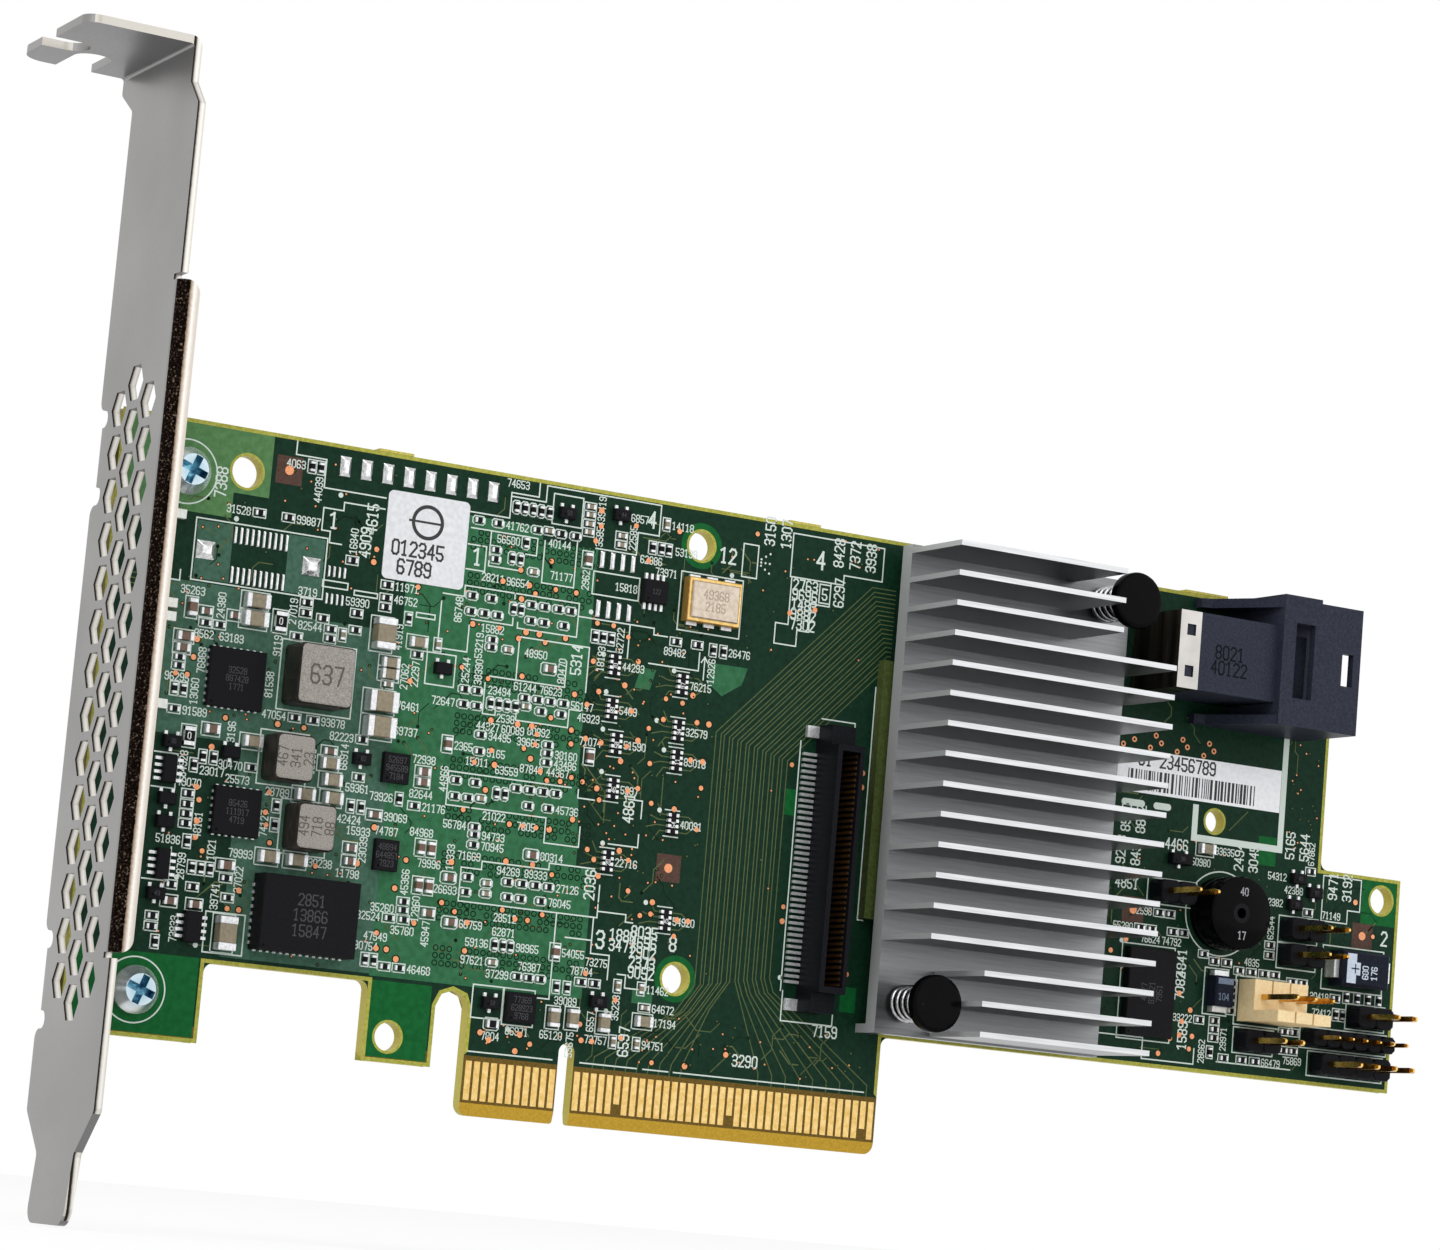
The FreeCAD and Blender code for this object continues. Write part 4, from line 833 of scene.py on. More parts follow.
# Test dots of bare copper, as the photo shows them on the component side.
BIG_DOTS = (
    (2.8, 65.6), (8.2, 65.8), (-1.6, 66.6), (-1.5, 64.9), (-2.0, 63.2), (4.7, 62.0), (-7.1, 60.2),
    (-10.7, 58.7), (-12.7, 57.2), (-9.5, 57.2), (-6.3, 57.2), (-3.8, 57.2), (-8.7, 56.4), (-10.3, 55.6),
    (-15.8, 52.1), (-12.6, 52.1), (-9.4, 52.1), (-7.8, 52.1), (-4.6, 52.1), (-10.2, 51.3), (-7.0, 51.3),
    (-16.6, 47.3), (-9.4, 47.3), (-13.4, 46.5), (-0.9, 54.3), (1.1, 54.3), (3.0, 53.3), (-1.0, 50.1),
    (4.5, 50.8), (3.1, 48.0), (0.0, 46.9), (-2.9, 46.2), (-1.3, 45.3), (4.2, 45.3), (-2.9, 42.3),
    (-5.5, 43.3), (-9.4, 42.1), (-7.7, 42.1), (-12.6, 42.1), (-1.1, 41.6), (-2.8, 40.8), (-7.0, 41.3),
    (-7.1, 40.2), (-8.4, 39.6), (-7.5, 38.6), (-12.2, 38.9), (0.8, 41.4), (4.0, 41.4), (5.3, 42.2),
    (3.4, 39.7), (8.3, 47.2), (10.4, 47.0), (11.6, 48.0), (12.4, 45.1), (13.9, 45.1), (8.2, 44.9),
    (6.5, 43.7), (12.0, 40.9), (13.5, 40.9), (7.0, 39.9), (13.6, 38.0), (-14.1, 37.4), (-11.7, 37.4),
    (-6.2, 37.4), (-5.3, 36.5), (-3.7, 36.6), (-2.4, 37.2), (-1.0, 36.9), (0.8, 36.4), (1.2, 35.2),
    (4.6, 36.6), (5.8, 37.0), (7.6, 35.6), (10.5, 35.3), (13.5, 33.4), (-12.5, 34.6), (-14.9, 32.2),
    (-9.3, 31.3), (-7.7, 31.3), (-6.1, 31.3), (-4.5, 31.3), (-1.8, 32.7), (0.3, 29.7), (4.2, 30.0),
    (5.4, 29.1), (1.2, 28.7), (-9.3, 27.3), (-6.1, 27.3), (-3.7, 26.5), (-15.7, 26.5), (-21.0, 26.1),
    (5.7, 25.8), (1.9, 27.0), (-16.4, 22.1), (-9.2, 22.1), (-4.4, 22.1), (-14.8, 21.3), (-7.6, 21.3),
    (-6.1, 21.3), (-13.2, 20.3), (-19.4, 19.6), (-13.2, 17.3), (-21.1, 15.6), (1.4, 16.4), (5.3, 13.9),
    (8.8, 24.9), (8.7, 23.6), (7.4, 23.3), (12.0, 23.3), (13.4, 23.3), (11.8, 21.5), (1.3, 10.9),
    (-10.5, 8.9), (-9.4, 8.2), (-4.5, 8.2), (-5.8, 9.1), (-6.2, 7.3), (1.6, 9.2), (2.9, 9.2), (6.4, 9.9),
    (10.4, 7.6), (14.5, 7.6), (-27.8, 58.4), (-28.0, 57.0), (-22.6, 55.1), (-47.0, 46.1), (-47.2, 44.2),
    (-49.0, 42.3), (-47.7, 42.3), (-37.1, 38.5), (-34.1, 38.5), (-43.0, 38.4), (-22.5, 45.0),
    (-44.2, 35.2), (-45.4, 30.9), (-45.0, 29.6), (-45.0, 27.4), (-45.0, 25.7), (-44.1, 24.4),
    (-37.3, 31.3), (-37.5, 29.2), (-37.3, 27.9), (-36.7, 26.1), (-31.3, 24.3), (-39.6, 20.8),
    (-40.7, 18.8), (-39.4, 18.8), (-26.6, 25.1), (-25.0, 29.1), (-22.0, 23.0), (-23.5, 16.5),
    (-22.3, 16.5), (-23.6, 18.1), (24.8, 42.0), (25.2, 26.2), (25.2, 24.6), (34.0, 42.2), (34.0, 40.6),
    (18.0, 67.0), (26.1, 59.6), (22.9, 58.8), (19.5, 9.3), (34.0, 19.6), (103.5, 35.3), (106.4, 31.5),
    (69.0, 26.0), (79.0, 22.0), (80.7, 20.2), (79.6, 18.8), (79.4, 17.2), (81.2, 17.2), (78.1, 16.7),
    (80.9, 15.7), (76.6, 14.8), (71.0, 27.5),
)
OPEN_RINGS = ((68.7, 50.0), (70.2, 50.7), (72.5, 50.0), (73.2, 51.5), (74.0, 50.7), (76.3, 50.0),
              (77.0, 51.5), (77.7, 50.7), (80.1, 50.0), (80.8, 51.5), (81.5, 50.7))
# Rows of vias in the field left of the lanes, as pairs of Z.
RING_ROWS = ((62.0, 61.2), (57.3, 56.5), (47.3, 46.5), (42.1, 41.3), (37.4, 36.6), (32.2, 31.3),
             (27.3, 26.5), (22.1, 21.3), (17.3, 16.5))
FIDUCIALS = ((-38.6, 65.2), (10.4, 28.8), (104.8, 31.4), (71.7, 31.0))


def blocked(x, z, room=0.0):
    """True where a part or a hole leaves no clear board."""
    for boxes in PARTS.values():
        for low, high in boxes:
            if low.x - room < x < high.x + room and low.z - room < z < high.z + room:
                return True
    return any(math.hypot(x - hx, z - hz) < r + 0.3 + room for hx, hz, r in HOLES)


def lay_vias(draw):
    """Test dots of bare copper, plated holes, and rings under the mask."""
    shape = Shape()
    for x, z in BIG_DOTS:
        radius = draw.uniform(0.27, 0.34)
        shape.dot(x, z, radius + 0.14, RING_H, 16, 1)
        shape.dot(x, z, radius, DOT_H, 14, 0)
    for x, z in OPEN_RINGS:
        shape.ring(x, z, 0.16, 0.34, RING_H, 16, 0)
        shape.dot(x, z, 0.16, RING_H, 8, 1)
    for rows in RING_ROWS:
        for z in rows + (rows[1] - 0.8,):
            for k in range(22):
                x = -16.6 + 0.8 * k
                if not blocked(x, z, 0.1) and draw.random() < 0.85:
                    shape.ring(x, z, 0.22, 0.35, RING_H, 14, 1)
    for x, z in FIDUCIALS:
        shape.plate(x - 1.5, x + 1.5, z - 1.5, z + 1.5, RING_H, 2)
        shape.dot(x, z, 0.5, DOT_H, 20, 0)
    fields = ((-50.0, -24.0, 14.0, 67.0, 150), (-2.0, 14.5, 18.0, 56.0, 110), (14.0, 35.0, 54.0, 68.0, 26),
              (93.0, 97.5, 40.0, 55.0, 26), (67.0, 92.0, 15.0, 40.0, 60), (-11.0, 37.0, 7.2, 13.0, 60),
              (-24.0, -1.0, 14.0, 63.0, 90), (16.0, 24.5, 17.0, 44.0, 6))
    for x0, x1, z0, z1, count in fields:
        for _ in range(count):
            x, z = draw.uniform(x0, x1), draw.uniform(z0, z1)
            if not blocked(x, z, 0.2):
                shape.dot(x, z, 0.2, RING_H, 10, 1)
                shape.dot(x, z, 0.11, DOT_H, 8, 0 if draw.random() < 0.55 else 3)
    shape.finish("vias", "board", [COPPER, DARK_RING, BARE_SQUARE, TRACK])


SILK_PATHS = (
    [(-38.0, 68.4), (-38.0, 67.0), (-34.5, 67.0), (-34.5, 64.0), (-27.3, 64.0)],
    [(-27.3, 62.8), (-32.0, 62.8), (-32.0, 61.9), (-34.3, 61.9), (-34.3, 59.5), (-33.3, 59.5), (-33.3, 58.3),
     (-31.9, 58.3)],
    [(-17.3, 64.1), (-12.6, 64.1), (-12.6, 66.9), (-9.3, 66.9), (-9.3, 68.4)],
    [(-12.6, 66.5), (-8.4, 66.5), (-8.4, 68.3), (5.7, 68.3), (5.7, 64.9), (3.1, 64.9), (3.1, 62.4),
     (-1.9, 62.4)],
    [(-17.0, 62.4), (-9.0, 62.4), (-9.0, 60.5), (-10.3, 60.5)], [(-14.6, 62.4), (-14.6, 58.6), (-10.5, 58.6)],
    [(-17.2, 60.6), (-15.0, 60.6), (-15.0, 57.9), (-17.2, 57.9)],
    [(-8.1, 62.3), (-8.1, 57.7), (-4.2, 57.7), (-4.2, 62.9)],
    [(-19.6, 54.9), (-17.1, 54.9), (-17.1, 56.1), (-3.3, 56.1), (-3.3, 52.4), (-10.5, 52.4), (-10.5, 53.0)],
    [(-19.7, 54.0), (-19.7, 49.0), (-16.2, 49.0), (-16.2, 51.9)], [(-11.1, 56.1), (-11.1, 55.5)],
    [(-16.0, 52.6), (-11.1, 52.6), (-11.1, 53.4)],
    [(-1.6, 46.6), (-1.6, 51.5), (-10.1, 51.5), (-10.1, 46.8)], [(-13.2, 46.8), (-4.2, 46.8), (-4.2, 49.6)],
    [(-13.7, 46.0), (-13.7, 42.7), (-12.2, 42.7), (-12.2, 43.6), (-9.7, 43.6), (-9.7, 42.5), (-3.4, 42.5),
     (-3.4, 44.5), (-2.0, 44.5)],
    [(-3.2, 54.7), (6.1, 54.7), (6.1, 54.0), (7.8, 54.0)], [(3.1, 54.7), (3.1, 51.0)],
    [(12.0, 52.8), (12.0, 50.8), (5.8, 50.8)], [(12.7, 49.9), (12.7, 52.2)],
    [(12.3, 51.8), (12.7, 52.4), (13.1, 51.8)],
    [(-2.3, 36.1), (-17.0, 36.1), (-17.0, 32.5), (-5.0, 32.5), (-5.0, 29.8), (-0.8, 29.8), (-0.8, 32.0)],
    [(2.2, 26.0), (2.2, 22.5), (-14.5, 22.5), (-14.5, 26.1), (-12.1, 26.1), (-12.1, 27.0), (-4.1, 27.0),
     (-4.1, 27.7), (1.4, 27.7)],
    [(2.2, 23.2), (5.7, 23.2), (5.7, 22.4), (6.6, 22.4)],
    [(1.8, 22.5), (1.8, 18.6), (4.1, 18.6), (4.1, 16.0)], [(-1.4, 20.0), (1.8, 20.0)],
    [(8.9, 22.0), (8.9, 15.3), (6.3, 15.3), (6.3, 16.7), (5.3, 16.7)],
    [(2.8, 30.6), (6.4, 30.6), (6.4, 32.0)], [(4.8, 35.7), (6.5, 35.7), (6.5, 33.8)],
    [(-1.4, 36.0), (-1.4, 35.1), (0.6, 35.1)], [(-2.7, 22.5), (-2.7, 13.2), (-4.4, 13.2)],
    [(-11.7, 6.8), (-1.7, 6.8)], [(1.7, 6.8), (8.6, 6.8)], [(9.4, 6.8), (12.5, 6.8)],
    [(13.2, 6.8), (37.4, 6.8)],
    [(25.7, 44.8), (25.7, 17.0)], [(28.2, 47.6), (32.5, 47.6), (32.5, 45.7)],
    [(26.0, 17.0), (26.0, 13.7), (32.6, 13.7), (32.6, 16.2)], [(34.8, 52.0), (34.8, 25.8), (35.5, 25.8)],
    [(22.6, 67.8), (34.5, 67.8), (34.5, 64.0), (29.5, 64.0), (29.5, 62.9), (22.6, 62.9), (22.6, 67.8)],
    [(22.8, 62.9), (22.8, 57.5), (21.2, 57.5), (21.2, 55.2), (24.0, 55.2), (24.0, 57.0), (25.5, 57.0),
     (25.5, 60.2), (27.9, 60.2), (27.9, 62.9)],
    [(98.6, 38.0), (104.2, 38.0), (104.2, 34.2), (102.4, 34.2), (102.4, 32.6), (98.6, 32.6), (98.6, 38.0)],
    [(84.9, 14.6), (95.5, 14.6)], [(66.5, 16.4), (74.3, 16.4), (74.3, 14.0), (81.6, 14.0), (81.6, 15.8)],
    [(-52.5, 51.9), (-49.6, 51.9), (-49.6, 53.0)], [(-47.5, 24.4), (-47.5, 20.9), (-50.4, 20.9)],
    [(-50.4, 34.0), (-47.8, 34.0), (-47.8, 30.4), (-50.4, 30.4)],
)
SILK_BOXES = (
    (-48.4, -33.5, 52.2, 58.7), (-37.5, -29.0, 40.1, 47.5), (-38.9, -33.4, 32.1, 37.8),
    (-35.8, -30.4, 25.2, 30.9), (-33.6, -30.7, 53.6, 54.3), (-29.9, -27.2, 53.2, 53.7),
    (-22.5, -20.3, 51.9, 52.4), (-7.5, -3.9, 64.3, 67.6), (-20.8, -17.4, 45.0, 48.4),
    (-1.9, 3.8, 57.4, 59.9), (8.9, 16.7, 55.0, 61.5), (-11.8, -8.2, 10.4, 13.9), (-8.1, -4.4, 10.0, 13.9),
    (-43.0, -38.6, 14.1, 18.3), (70.6, 78.0, 16.1, 27.1), (16.4, 18.3, 62.0, 65.7),
    (92.5, 98.2, 26.4, 29.4), (92.5, 98.2, 29.5, 32.6), (73.5, 80.4, 32.0, 35.0), (86.9, 95.4, 19.2, 24.9),
    (99.2, 108.2, 24.6, 29.8), (87.0, 92.8, 15.9, 18.9), (103.1, 108.9, 20.2, 23.2),
    (96.6, 109.4, 17.4, 19.9), (97.9, 109.0, 14.2, 17.1), (82.4, 85.8, 20.0, 25.4), (26.5, 27.9, 60.5, 62.6),
)
SILK_DOTS = (
    (-32.5, 63.5), (-44.0, 59.2), (-46.6, 21.4), (-43.8, 14.7), (-1.8, 55.4), (0.2, 51.0), (0.9, 47.0),
    (0.9, 42.9), (1.2, 38.3), (2.1, 30.6), (9.0, 50.4), (7.4, 44.7), (8.6, 41.6), (8.7, 35.0), (8.0, 24.8),
    (15.2, 61.9), (25.5, 18.4), (70.4, 27.3), (87.3, 25.1), (4.3, 12.6), (-7.2, 9.5),
)


# Upright numbers side by side: place of the first, and how many.
NUMBER_ROWS = (
    (-35.4, 61.2, 2), (-31.2, 60.0, 6), (-44.9, 11.2, 3), (-44.9, 8.5, 3), (-18.9, 52.2, 3), (-9.0, 48.4, 3),
    (-5.6, 48.4, 4), (-7.2, 58.2, 4), (-2.6, 33.2, 5), (-2.6, 24.4, 5), (-2.6, 21.7, 5), (3.4, 33.2, 4),
    (94.0, 39.4, 4), (99.6, 35.3, 5), (79.6, 24.0, 2), (79.6, 21.3, 2), (28.2, 64.9, 6), (20.2, 66.0, 3),
    (4.2, 8.0, 4), (-3.4, 31.0, 3), (67.2, 38.2, 2), (80.4, 15.6, 2), (83.6, 37.2, 6), (70.0, 36.2, 3),
    (-29.6, 57.4, 2), (-24.6, 60.6, 5), (-14.0, 64.2, 1), (-45.5, 61.2, 1), (-19.0, 47.6, 2),
    (-22.4, 33.4, 2), (-18.6, 18.6, 2), (-6.4, 14.6, 2), (8.0, 60.6, 1), (70.4, 40.0, 3), (96.4, 36.6, 2),
    (103.4, 13.9, 2), (82.4, 27.0, 2), (28.6, 60.4, 2), (1.0, 50.9, 2), (-27.6, 60.8, 3), (-29.8, 60.2, 2),
    (-31.4, 57.2, 3), (-25.8, 57.4, 3), (-22.8, 57.6, 2),
)
# Level numbers under one another: place of the first, and how many.
NUMBER_LISTS = (
    (23.1, 61.5, 5), (21.6, 56.3, 1), (30.6, 66.8, 3), (4.0, 21.4, 4), (6.6, 20.9, 5), (-16.4, 45.4, 2),
    (-21.8, 43.9, 3), (-0.9, 24.9, 2), (-12.6, 29.6, 2), (-20.4, 30.4, 3), (93.6, 36.6, 4), (75.6, 38.6, 2),
    (-29.6, 62.6, 3), (-33.6, 50.6, 1), (-24.4, 38.4, 2), (-12.0, 19.4, 2), (16.6, 61.6, 1), (12.8, 12.0, 1),
    (20.4, 8.2, 1), (30.2, 12.4, 1), (85.4, 36.2, 3), (69.0, 35.6, 3),
)
# Large figures: text, place and height.
LARGE_NUMBERS = (
    ("12", 13.6, 63.2, 1.6), ("8", 11.4, 19.9, 1.5), ("1", -33.4, 59.9, 1.6), ("1", -16.4, 58.5, 1.7),
    ("4", 4.3, 65.7, 1.7), ("4", 25.9, 64.3, 1.9), ("3", 2.4, 19.3, 1.8), ("2", 107.7, 30.6, 1.6),
    ("5", 26.9, 60.9, 1.2),
)
OUTLINED = ("small_resistors", "small_capacitors", "medium_capacitors", "large_capacitors",
            "marked_resistors")
NUMBERED = OUTLINED + ("resistor_arrays", "transistors", "small_outline_chips", "quad_flat_chips")
SMALL_TALL, ROW_TALL = 0.8, 1.2  # figures beside parts, and those in rows and lists


class Print(Shape):
    """White ink, with the regions that are taken, so that numbers keep clear of lines and of each other."""

    def __init__(self):
        super().__init__()
        self.taken = []

    def take(self, x0, x1, z0, z1, room=0.1):
        self.taken.append((x0 - room, x1 + room, z0 - room, z1 + room))

    def free(self, x0, x1, z0, z1):
        """True where no part, ink or edge lies in the region."""
        for boxes in PARTS.values():
            for low, high in boxes:
                if x0 < high.x + 0.25 and x1 > low.x - 0.25 and z0 < high.z + 0.25 and z1 > low.z - 0.25:
                    return False
        if any(x0 < a1 and x1 > a0 and z0 < b1 and z1 > b0 for a0, a1, b0, b1 in self.taken):
            return False
        inside = -50.3 < x0 and x1 < 109.3 and z0 > 7.2 and z1 < 68.4
        inside = inside and (z0 > 13.8 or (x0 > -11.5 and x1 < 38.5))
        return inside and not (35.0 < x1 and x0 < 66.0) and not (x1 > 97.8 and z1 > 38.0) \
            and not (66.0 < x1 and x0 < 94.0 and z1 > 52.0)

    def guides(self):
        """Lines, frames, dots and heavy bars."""
        for path in SILK_PATHS:
            self.line(path, 0.15, SILK_H)
            for (x0, z0), (x1, z1) in zip(path, path[1:]):
                self.take(min(x0, x1), max(x0, x1), min(z0, z1), max(z0, z1))
        for x0, x1, z0, z1 in SILK_BOXES:
            self.frame(x0, x1, z0, z1, 0.15, SILK_H)
            for side in ((x0, x0, z0, z1), (x1, x1, z0, z1), (x0, x1, z0, z0), (x0, x1, z1, z1)):
                self.take(*side)
        for x, z in SILK_DOTS:
            self.dot(x, z, 0.28, SILK_H, 16)
        for x, z in SCREWS:
            self.ring(x, z, 3.3, 3.45, SILK_H, 48)
        self.ring(*BUZZER, 4.85, 5.02, SILK_H, 48)
        for strip in ((79.1, 79.9, 39.9, 44.2), (79.9, 91.5, 39.9, 40.7), (91.5, 92.3, 39.9, 68.6),
                      (79.1, 91.5, 67.8, 68.6)):
            self.plate(*strip, SILK_H)
        for x0, x1 in ((69.4, 71.9), (73.9, 75.6)):
            self.plate(x0, x1, 42.95, 43.75, SILK_H)
            self.dot(x0, 43.35, 0.4, SILK_H + 0.001, 16)
            self.dot(x1, 43.35, 0.4, SILK_H + 0.001, 16)
        for k in range(3):
            for step in range(4):
                self.dot(18.2 + 0.55 * step, 63.9 + (k - 1) * 0.28 * step * 1.3, 0.13, SILK_H, 8)

    def part_outlines(self):
        """Eight-sided outlines round the chip parts, and two lines at each resistor array."""
        for node in OUTLINED:
            gap = 0.2 if node.startswith("small") else 0.25
            for low, high in PARTS[node]:
                x0, x1, z0, z1 = low.x - gap, high.x + gap, low.z - gap, high.z + gap
                cut = 0.22 if low.x > -17.0 and high.x < -3.0 else 0.02
                self.line([(x0 + cut, z0), (x1 - cut, z0), (x1, z0 + cut), (x1, z1 - cut), (x1 - cut, z1),
                           (x0 + cut, z1), (x0, z1 - cut), (x0, z0 + cut), (x0 + cut, z0)], 0.13, SILK_H)
        for low, high in PARTS["resistor_arrays"]:
            for z in (low.z - 0.25, high.z + 0.25):
                self.line([(low.x - 0.25, z), (high.x + 0.25, z)], 0.13, SILK_H)

    def part_numbers(self, draw):
        """A number beside each part, in the first free place."""
        tall = SMALL_TALL
        for node in NUMBERED:
            for low, high in PARTS[node]:
                text = str(draw.randint(101, 999)) + str(draw.randint(1, 99))
                size = text_size(text, tall)
                x, z = middle(low, high)
                near, far = 0.5, 1.6
                level, left, upright = z - tall / 2, x - size / 2, z - size / 2
                spots = ((high.x + near, level, 0), (low.x - near - size, level, 0),
                         (left, high.z + near, 0), (left, low.z - near - tall, 0),
                         (x + tall / 2, high.z + near, 1), (x + tall / 2, low.z - near - size, 1),
                         (high.x + near + tall, upright, 1), (low.x - near, upright, 1),
                         (high.x + far, level, 0), (left, high.z + far, 0),
                         (left, low.z - far - tall, 0), (high.x + far + tall, upright, 1))
                for px, pz, up in spots:
                    region = (px - tall, px, pz, pz + size) if up else (px, px + size, pz, pz + tall)
                    if self.free(*region):
                        self.write(text, px, pz, tall, bool(up))
                        self.take(*region)
                        break

    def other_numbers(self, draw):
        """Large figures, then rows and lists of small numbers."""
        for text, x, z, tall in LARGE_NUMBERS:
            self.write(text, x, z, tall)
            self.take(x, x + 0.8 * tall * len(text) - 0.2, z, z + tall, 0.2)
        tall = ROW_TALL
        for x, z, columns in NUMBER_ROWS:
            for k in range(columns):
                px = x + k * 1.05
                if self.free(px - tall, px, z, z + 2.2):
                    self.write(str(draw.randint(1001, 9999)), px, z, tall, True)
                    self.taken.append((px - tall, px + 0.05, z, z + 2.2))
        for x, z, rows in NUMBER_LISTS:
            for k in range(rows):
                pz = z - 1.1 * k
                if self.free(x, x + 2.2, pz, pz + tall):
                    self.write(str(draw.randint(1001, 9999)), x, pz, tall)


def screen_print(draw):
    """White ink: guide lines, part outlines and plain numbers."""
    ink = Print()
    ink.guides()
    ink.part_outlines()
    ink.part_numbers(draw)
    ink.other_numbers(draw)
    ink.finish("screen_print", "label_paper", [SILK])


# ---- finished forms of the plain blocks ----
def top_of(low):
    """Height over the board of a solid whose lowest corner is given."""
    return FACE - low.y


def inset_ring(low, high, inset, height):
    """Four points round a box's plan, moved in by inset, at a height over the board."""
    return corners(low.x + inset, high.x - inset, low.z + inset, high.z - inset, FACE - height)


def crowned(shape, low, high, chamfer, paint=0):
    """Block with its front edges broken at 45 degrees."""
    top = top_of(low)
    shape.stack([inset_ring(low, high, inset, height)
                 for inset, height in ((0, FACE - high.y), (0, top - chamfer), (chamfer, top))], paint)


def number_lines(shape, low, high, rows, draw, tall, paint, upright=False):
    """Centred lines of plain numbers on top of a part."""
    (x, z), height, pen = middle(low, high), top_of(low) + 0.01, tall * 0.12
    for row, digits in enumerate(rows):
        text = "".join(str(draw.randint(1, 9)) for _ in range(digits))
        size, shift = text_size(text, tall), ((len(rows) - 1) / 2 - row) * tall * 1.4
        start = (x - shift + tall / 2, z - size / 2) if upright else (x - size / 2, z + shift - tall / 2)
        shape.write(text, *start, tall, upright, height, pen, paint)


def moulded_chips(name, node, slot, draw, tall, rows, chamfer=0.08, upright=False):
    """Black packages with a pin-one dimple and faint numbers."""
    shape = Shape()
    for low, high in islands(node):
        crowned(shape, low, high, chamfer)
        height = top_of(low) + 0.006
        if high.x - low.x > 1.9:
            shape.dot(low.x + 0.45, low.z + 0.45, 0.16, height, 12, 2)
            number_lines(shape, low, high, rows, draw, tall, 1, upright)
    shape.finish(name, slot, [CHIP, CHIP_MARK, GLOSS], replaces=(node,))


def inductors(name, node, draw, rows, tall, upright):
    """Pressed blocks with rounded corners and a soft upper edge, numbered on top."""
    shape = Shape()
    for low, high in islands(node):
        soft, top = 0.16, top_of(low)
        rings = []
        for inset, height, c in ((0, 0, 0.45), (0, top - 0.35, 0.45), (soft, top - soft * 0.4, 0.45),
                                 (soft * 2, top, 0.405)):
            a, b, lo, hi = low.x + inset, high.x - inset, low.z + inset, high.z - inset
            rings.append([(px, FACE - height, pz) for px, pz in (
                (a + c, lo), (b - c, lo), (b - c * 0.3, lo + c * 0.3), (b, lo + c), (b, hi - c),
                (b - c * 0.3, hi - c * 0.3), (b - c, hi), (a + c, hi), (a + c * 0.3, hi - c * 0.3),
                (a, hi - c), (a, lo + c), (a + c * 0.3, lo + c * 0.3))])
        shape.stack(rings, closed=False)
        number_lines(shape, low, high, rows, draw, tall, 1, upright)
    shape.finish(name, "ferrite", [FERRITE, FERRITE_MARK], replaces=(node,))


def sharpen(made):
    """Keeps hard edges hard on a smooth-shaded piece."""
    split = made.modifiers.new("hard edges", "EDGE_SPLIT")
    split.split_angle = math.radians(35)


def push_pins():
    """Black nylon pins: thin round-edged caps on stems that go through the board."""
    shape = Shape()
    thick = BACK - FACE
    for low, high in islands("heatsink_push_pins"):
        (x, z), top, radius = middle(low, high), top_of(low), (high.x - low.x) / 2
        shape.turned(x, z, (
            (0.9, -thick - 2.1), (2.0, -thick - 0.12), (1.45, -thick - 0.1), (1.45, top - 1.35),
            (radius - 0.2, top - 1.3), (radius, top - 1.1), (radius, top - 0.3), (radius - 0.08, top - 0.12),
            (radius - 0.25, top - 0.02), (radius - 0.5, top), (0.35, top), (0.3, top)))
        shape.dot(x - 1.9, z - 0.2, 0.16, top + 0.004, 12, 1)
    sharpen(shape.finish("push_pin_caps", "black_gloss", [GLOSS, DARK_SHELL],
                         replaces=("heatsink_push_pins",), smooth=True))


def sound_disc():
    """Buzzer: round-edged can with a centre hole and two moulded numbers."""
    shape = Shape()
    (low, high), = islands("buzzer")
    (x, z), top, radius = middle(low, high), top_of(low), (high.x - low.x) / 2
    shape.turned(x, z, ((radius, 0), (radius, top - 0.35), (radius - 0.1, top - 0.1), (radius - 0.35, top),
                        (0.62, top), (0.62, top - 1.6)))
    shape.ring(x, z, 0.62, 1.15, top + 0.006, 32, 1)
    shape.write("40", x - 0.3, z + 2.1, 0.85, False, top + 0.01, 0.13, 2)
    shape.write("17", x - 0.3, z - 3.0, 0.85, False, top + 0.01, 0.13, 2)
    sharpen(shape.finish("buzzer_can", "black_gloss", [GLOSS, CHIP, BUZZER_MARK], replaces=("buzzer",),
                         smooth=True))


def crystal_can():
    """Oscillator: ceramic base, seam-welded lid with a gold flange."""
    shape = Shape()
    (low, high), = islands("oscillator_base")
    crowned(shape, low, high, 0.05, 0)
    shape.plate(low.x + 0.1, high.x - 0.1, low.z + 0.1, high.z - 0.1, top_of(low) + 0.004, 1)
    for k in range(3):
        x = low.x + 0.5 + 2.2 * k
        shape.box(x, x + 1.3, low.z - 0.35, low.z, 0, 0.35, 3)
        shape.box(x, x + 1.3, high.z, high.z + 0.35, 0, 0.35, 3)
    shape.finish("oscillator_body", "ceramic_gold", [CERAMIC, GOLD, LID, TIN], replaces=("oscillator_base",))
    lid = Shape()
    (low, high), = islands("oscillator_lid")
    crowned(lid, low, high, 0.12, 0)
    number_lines(lid, low, high, (5, 4), random.Random(3), 0.95, 1)
    lid.finish("oscillator_cover", "lid_metal", [LID, LID_MARK], replaces=("oscillator_lid",))


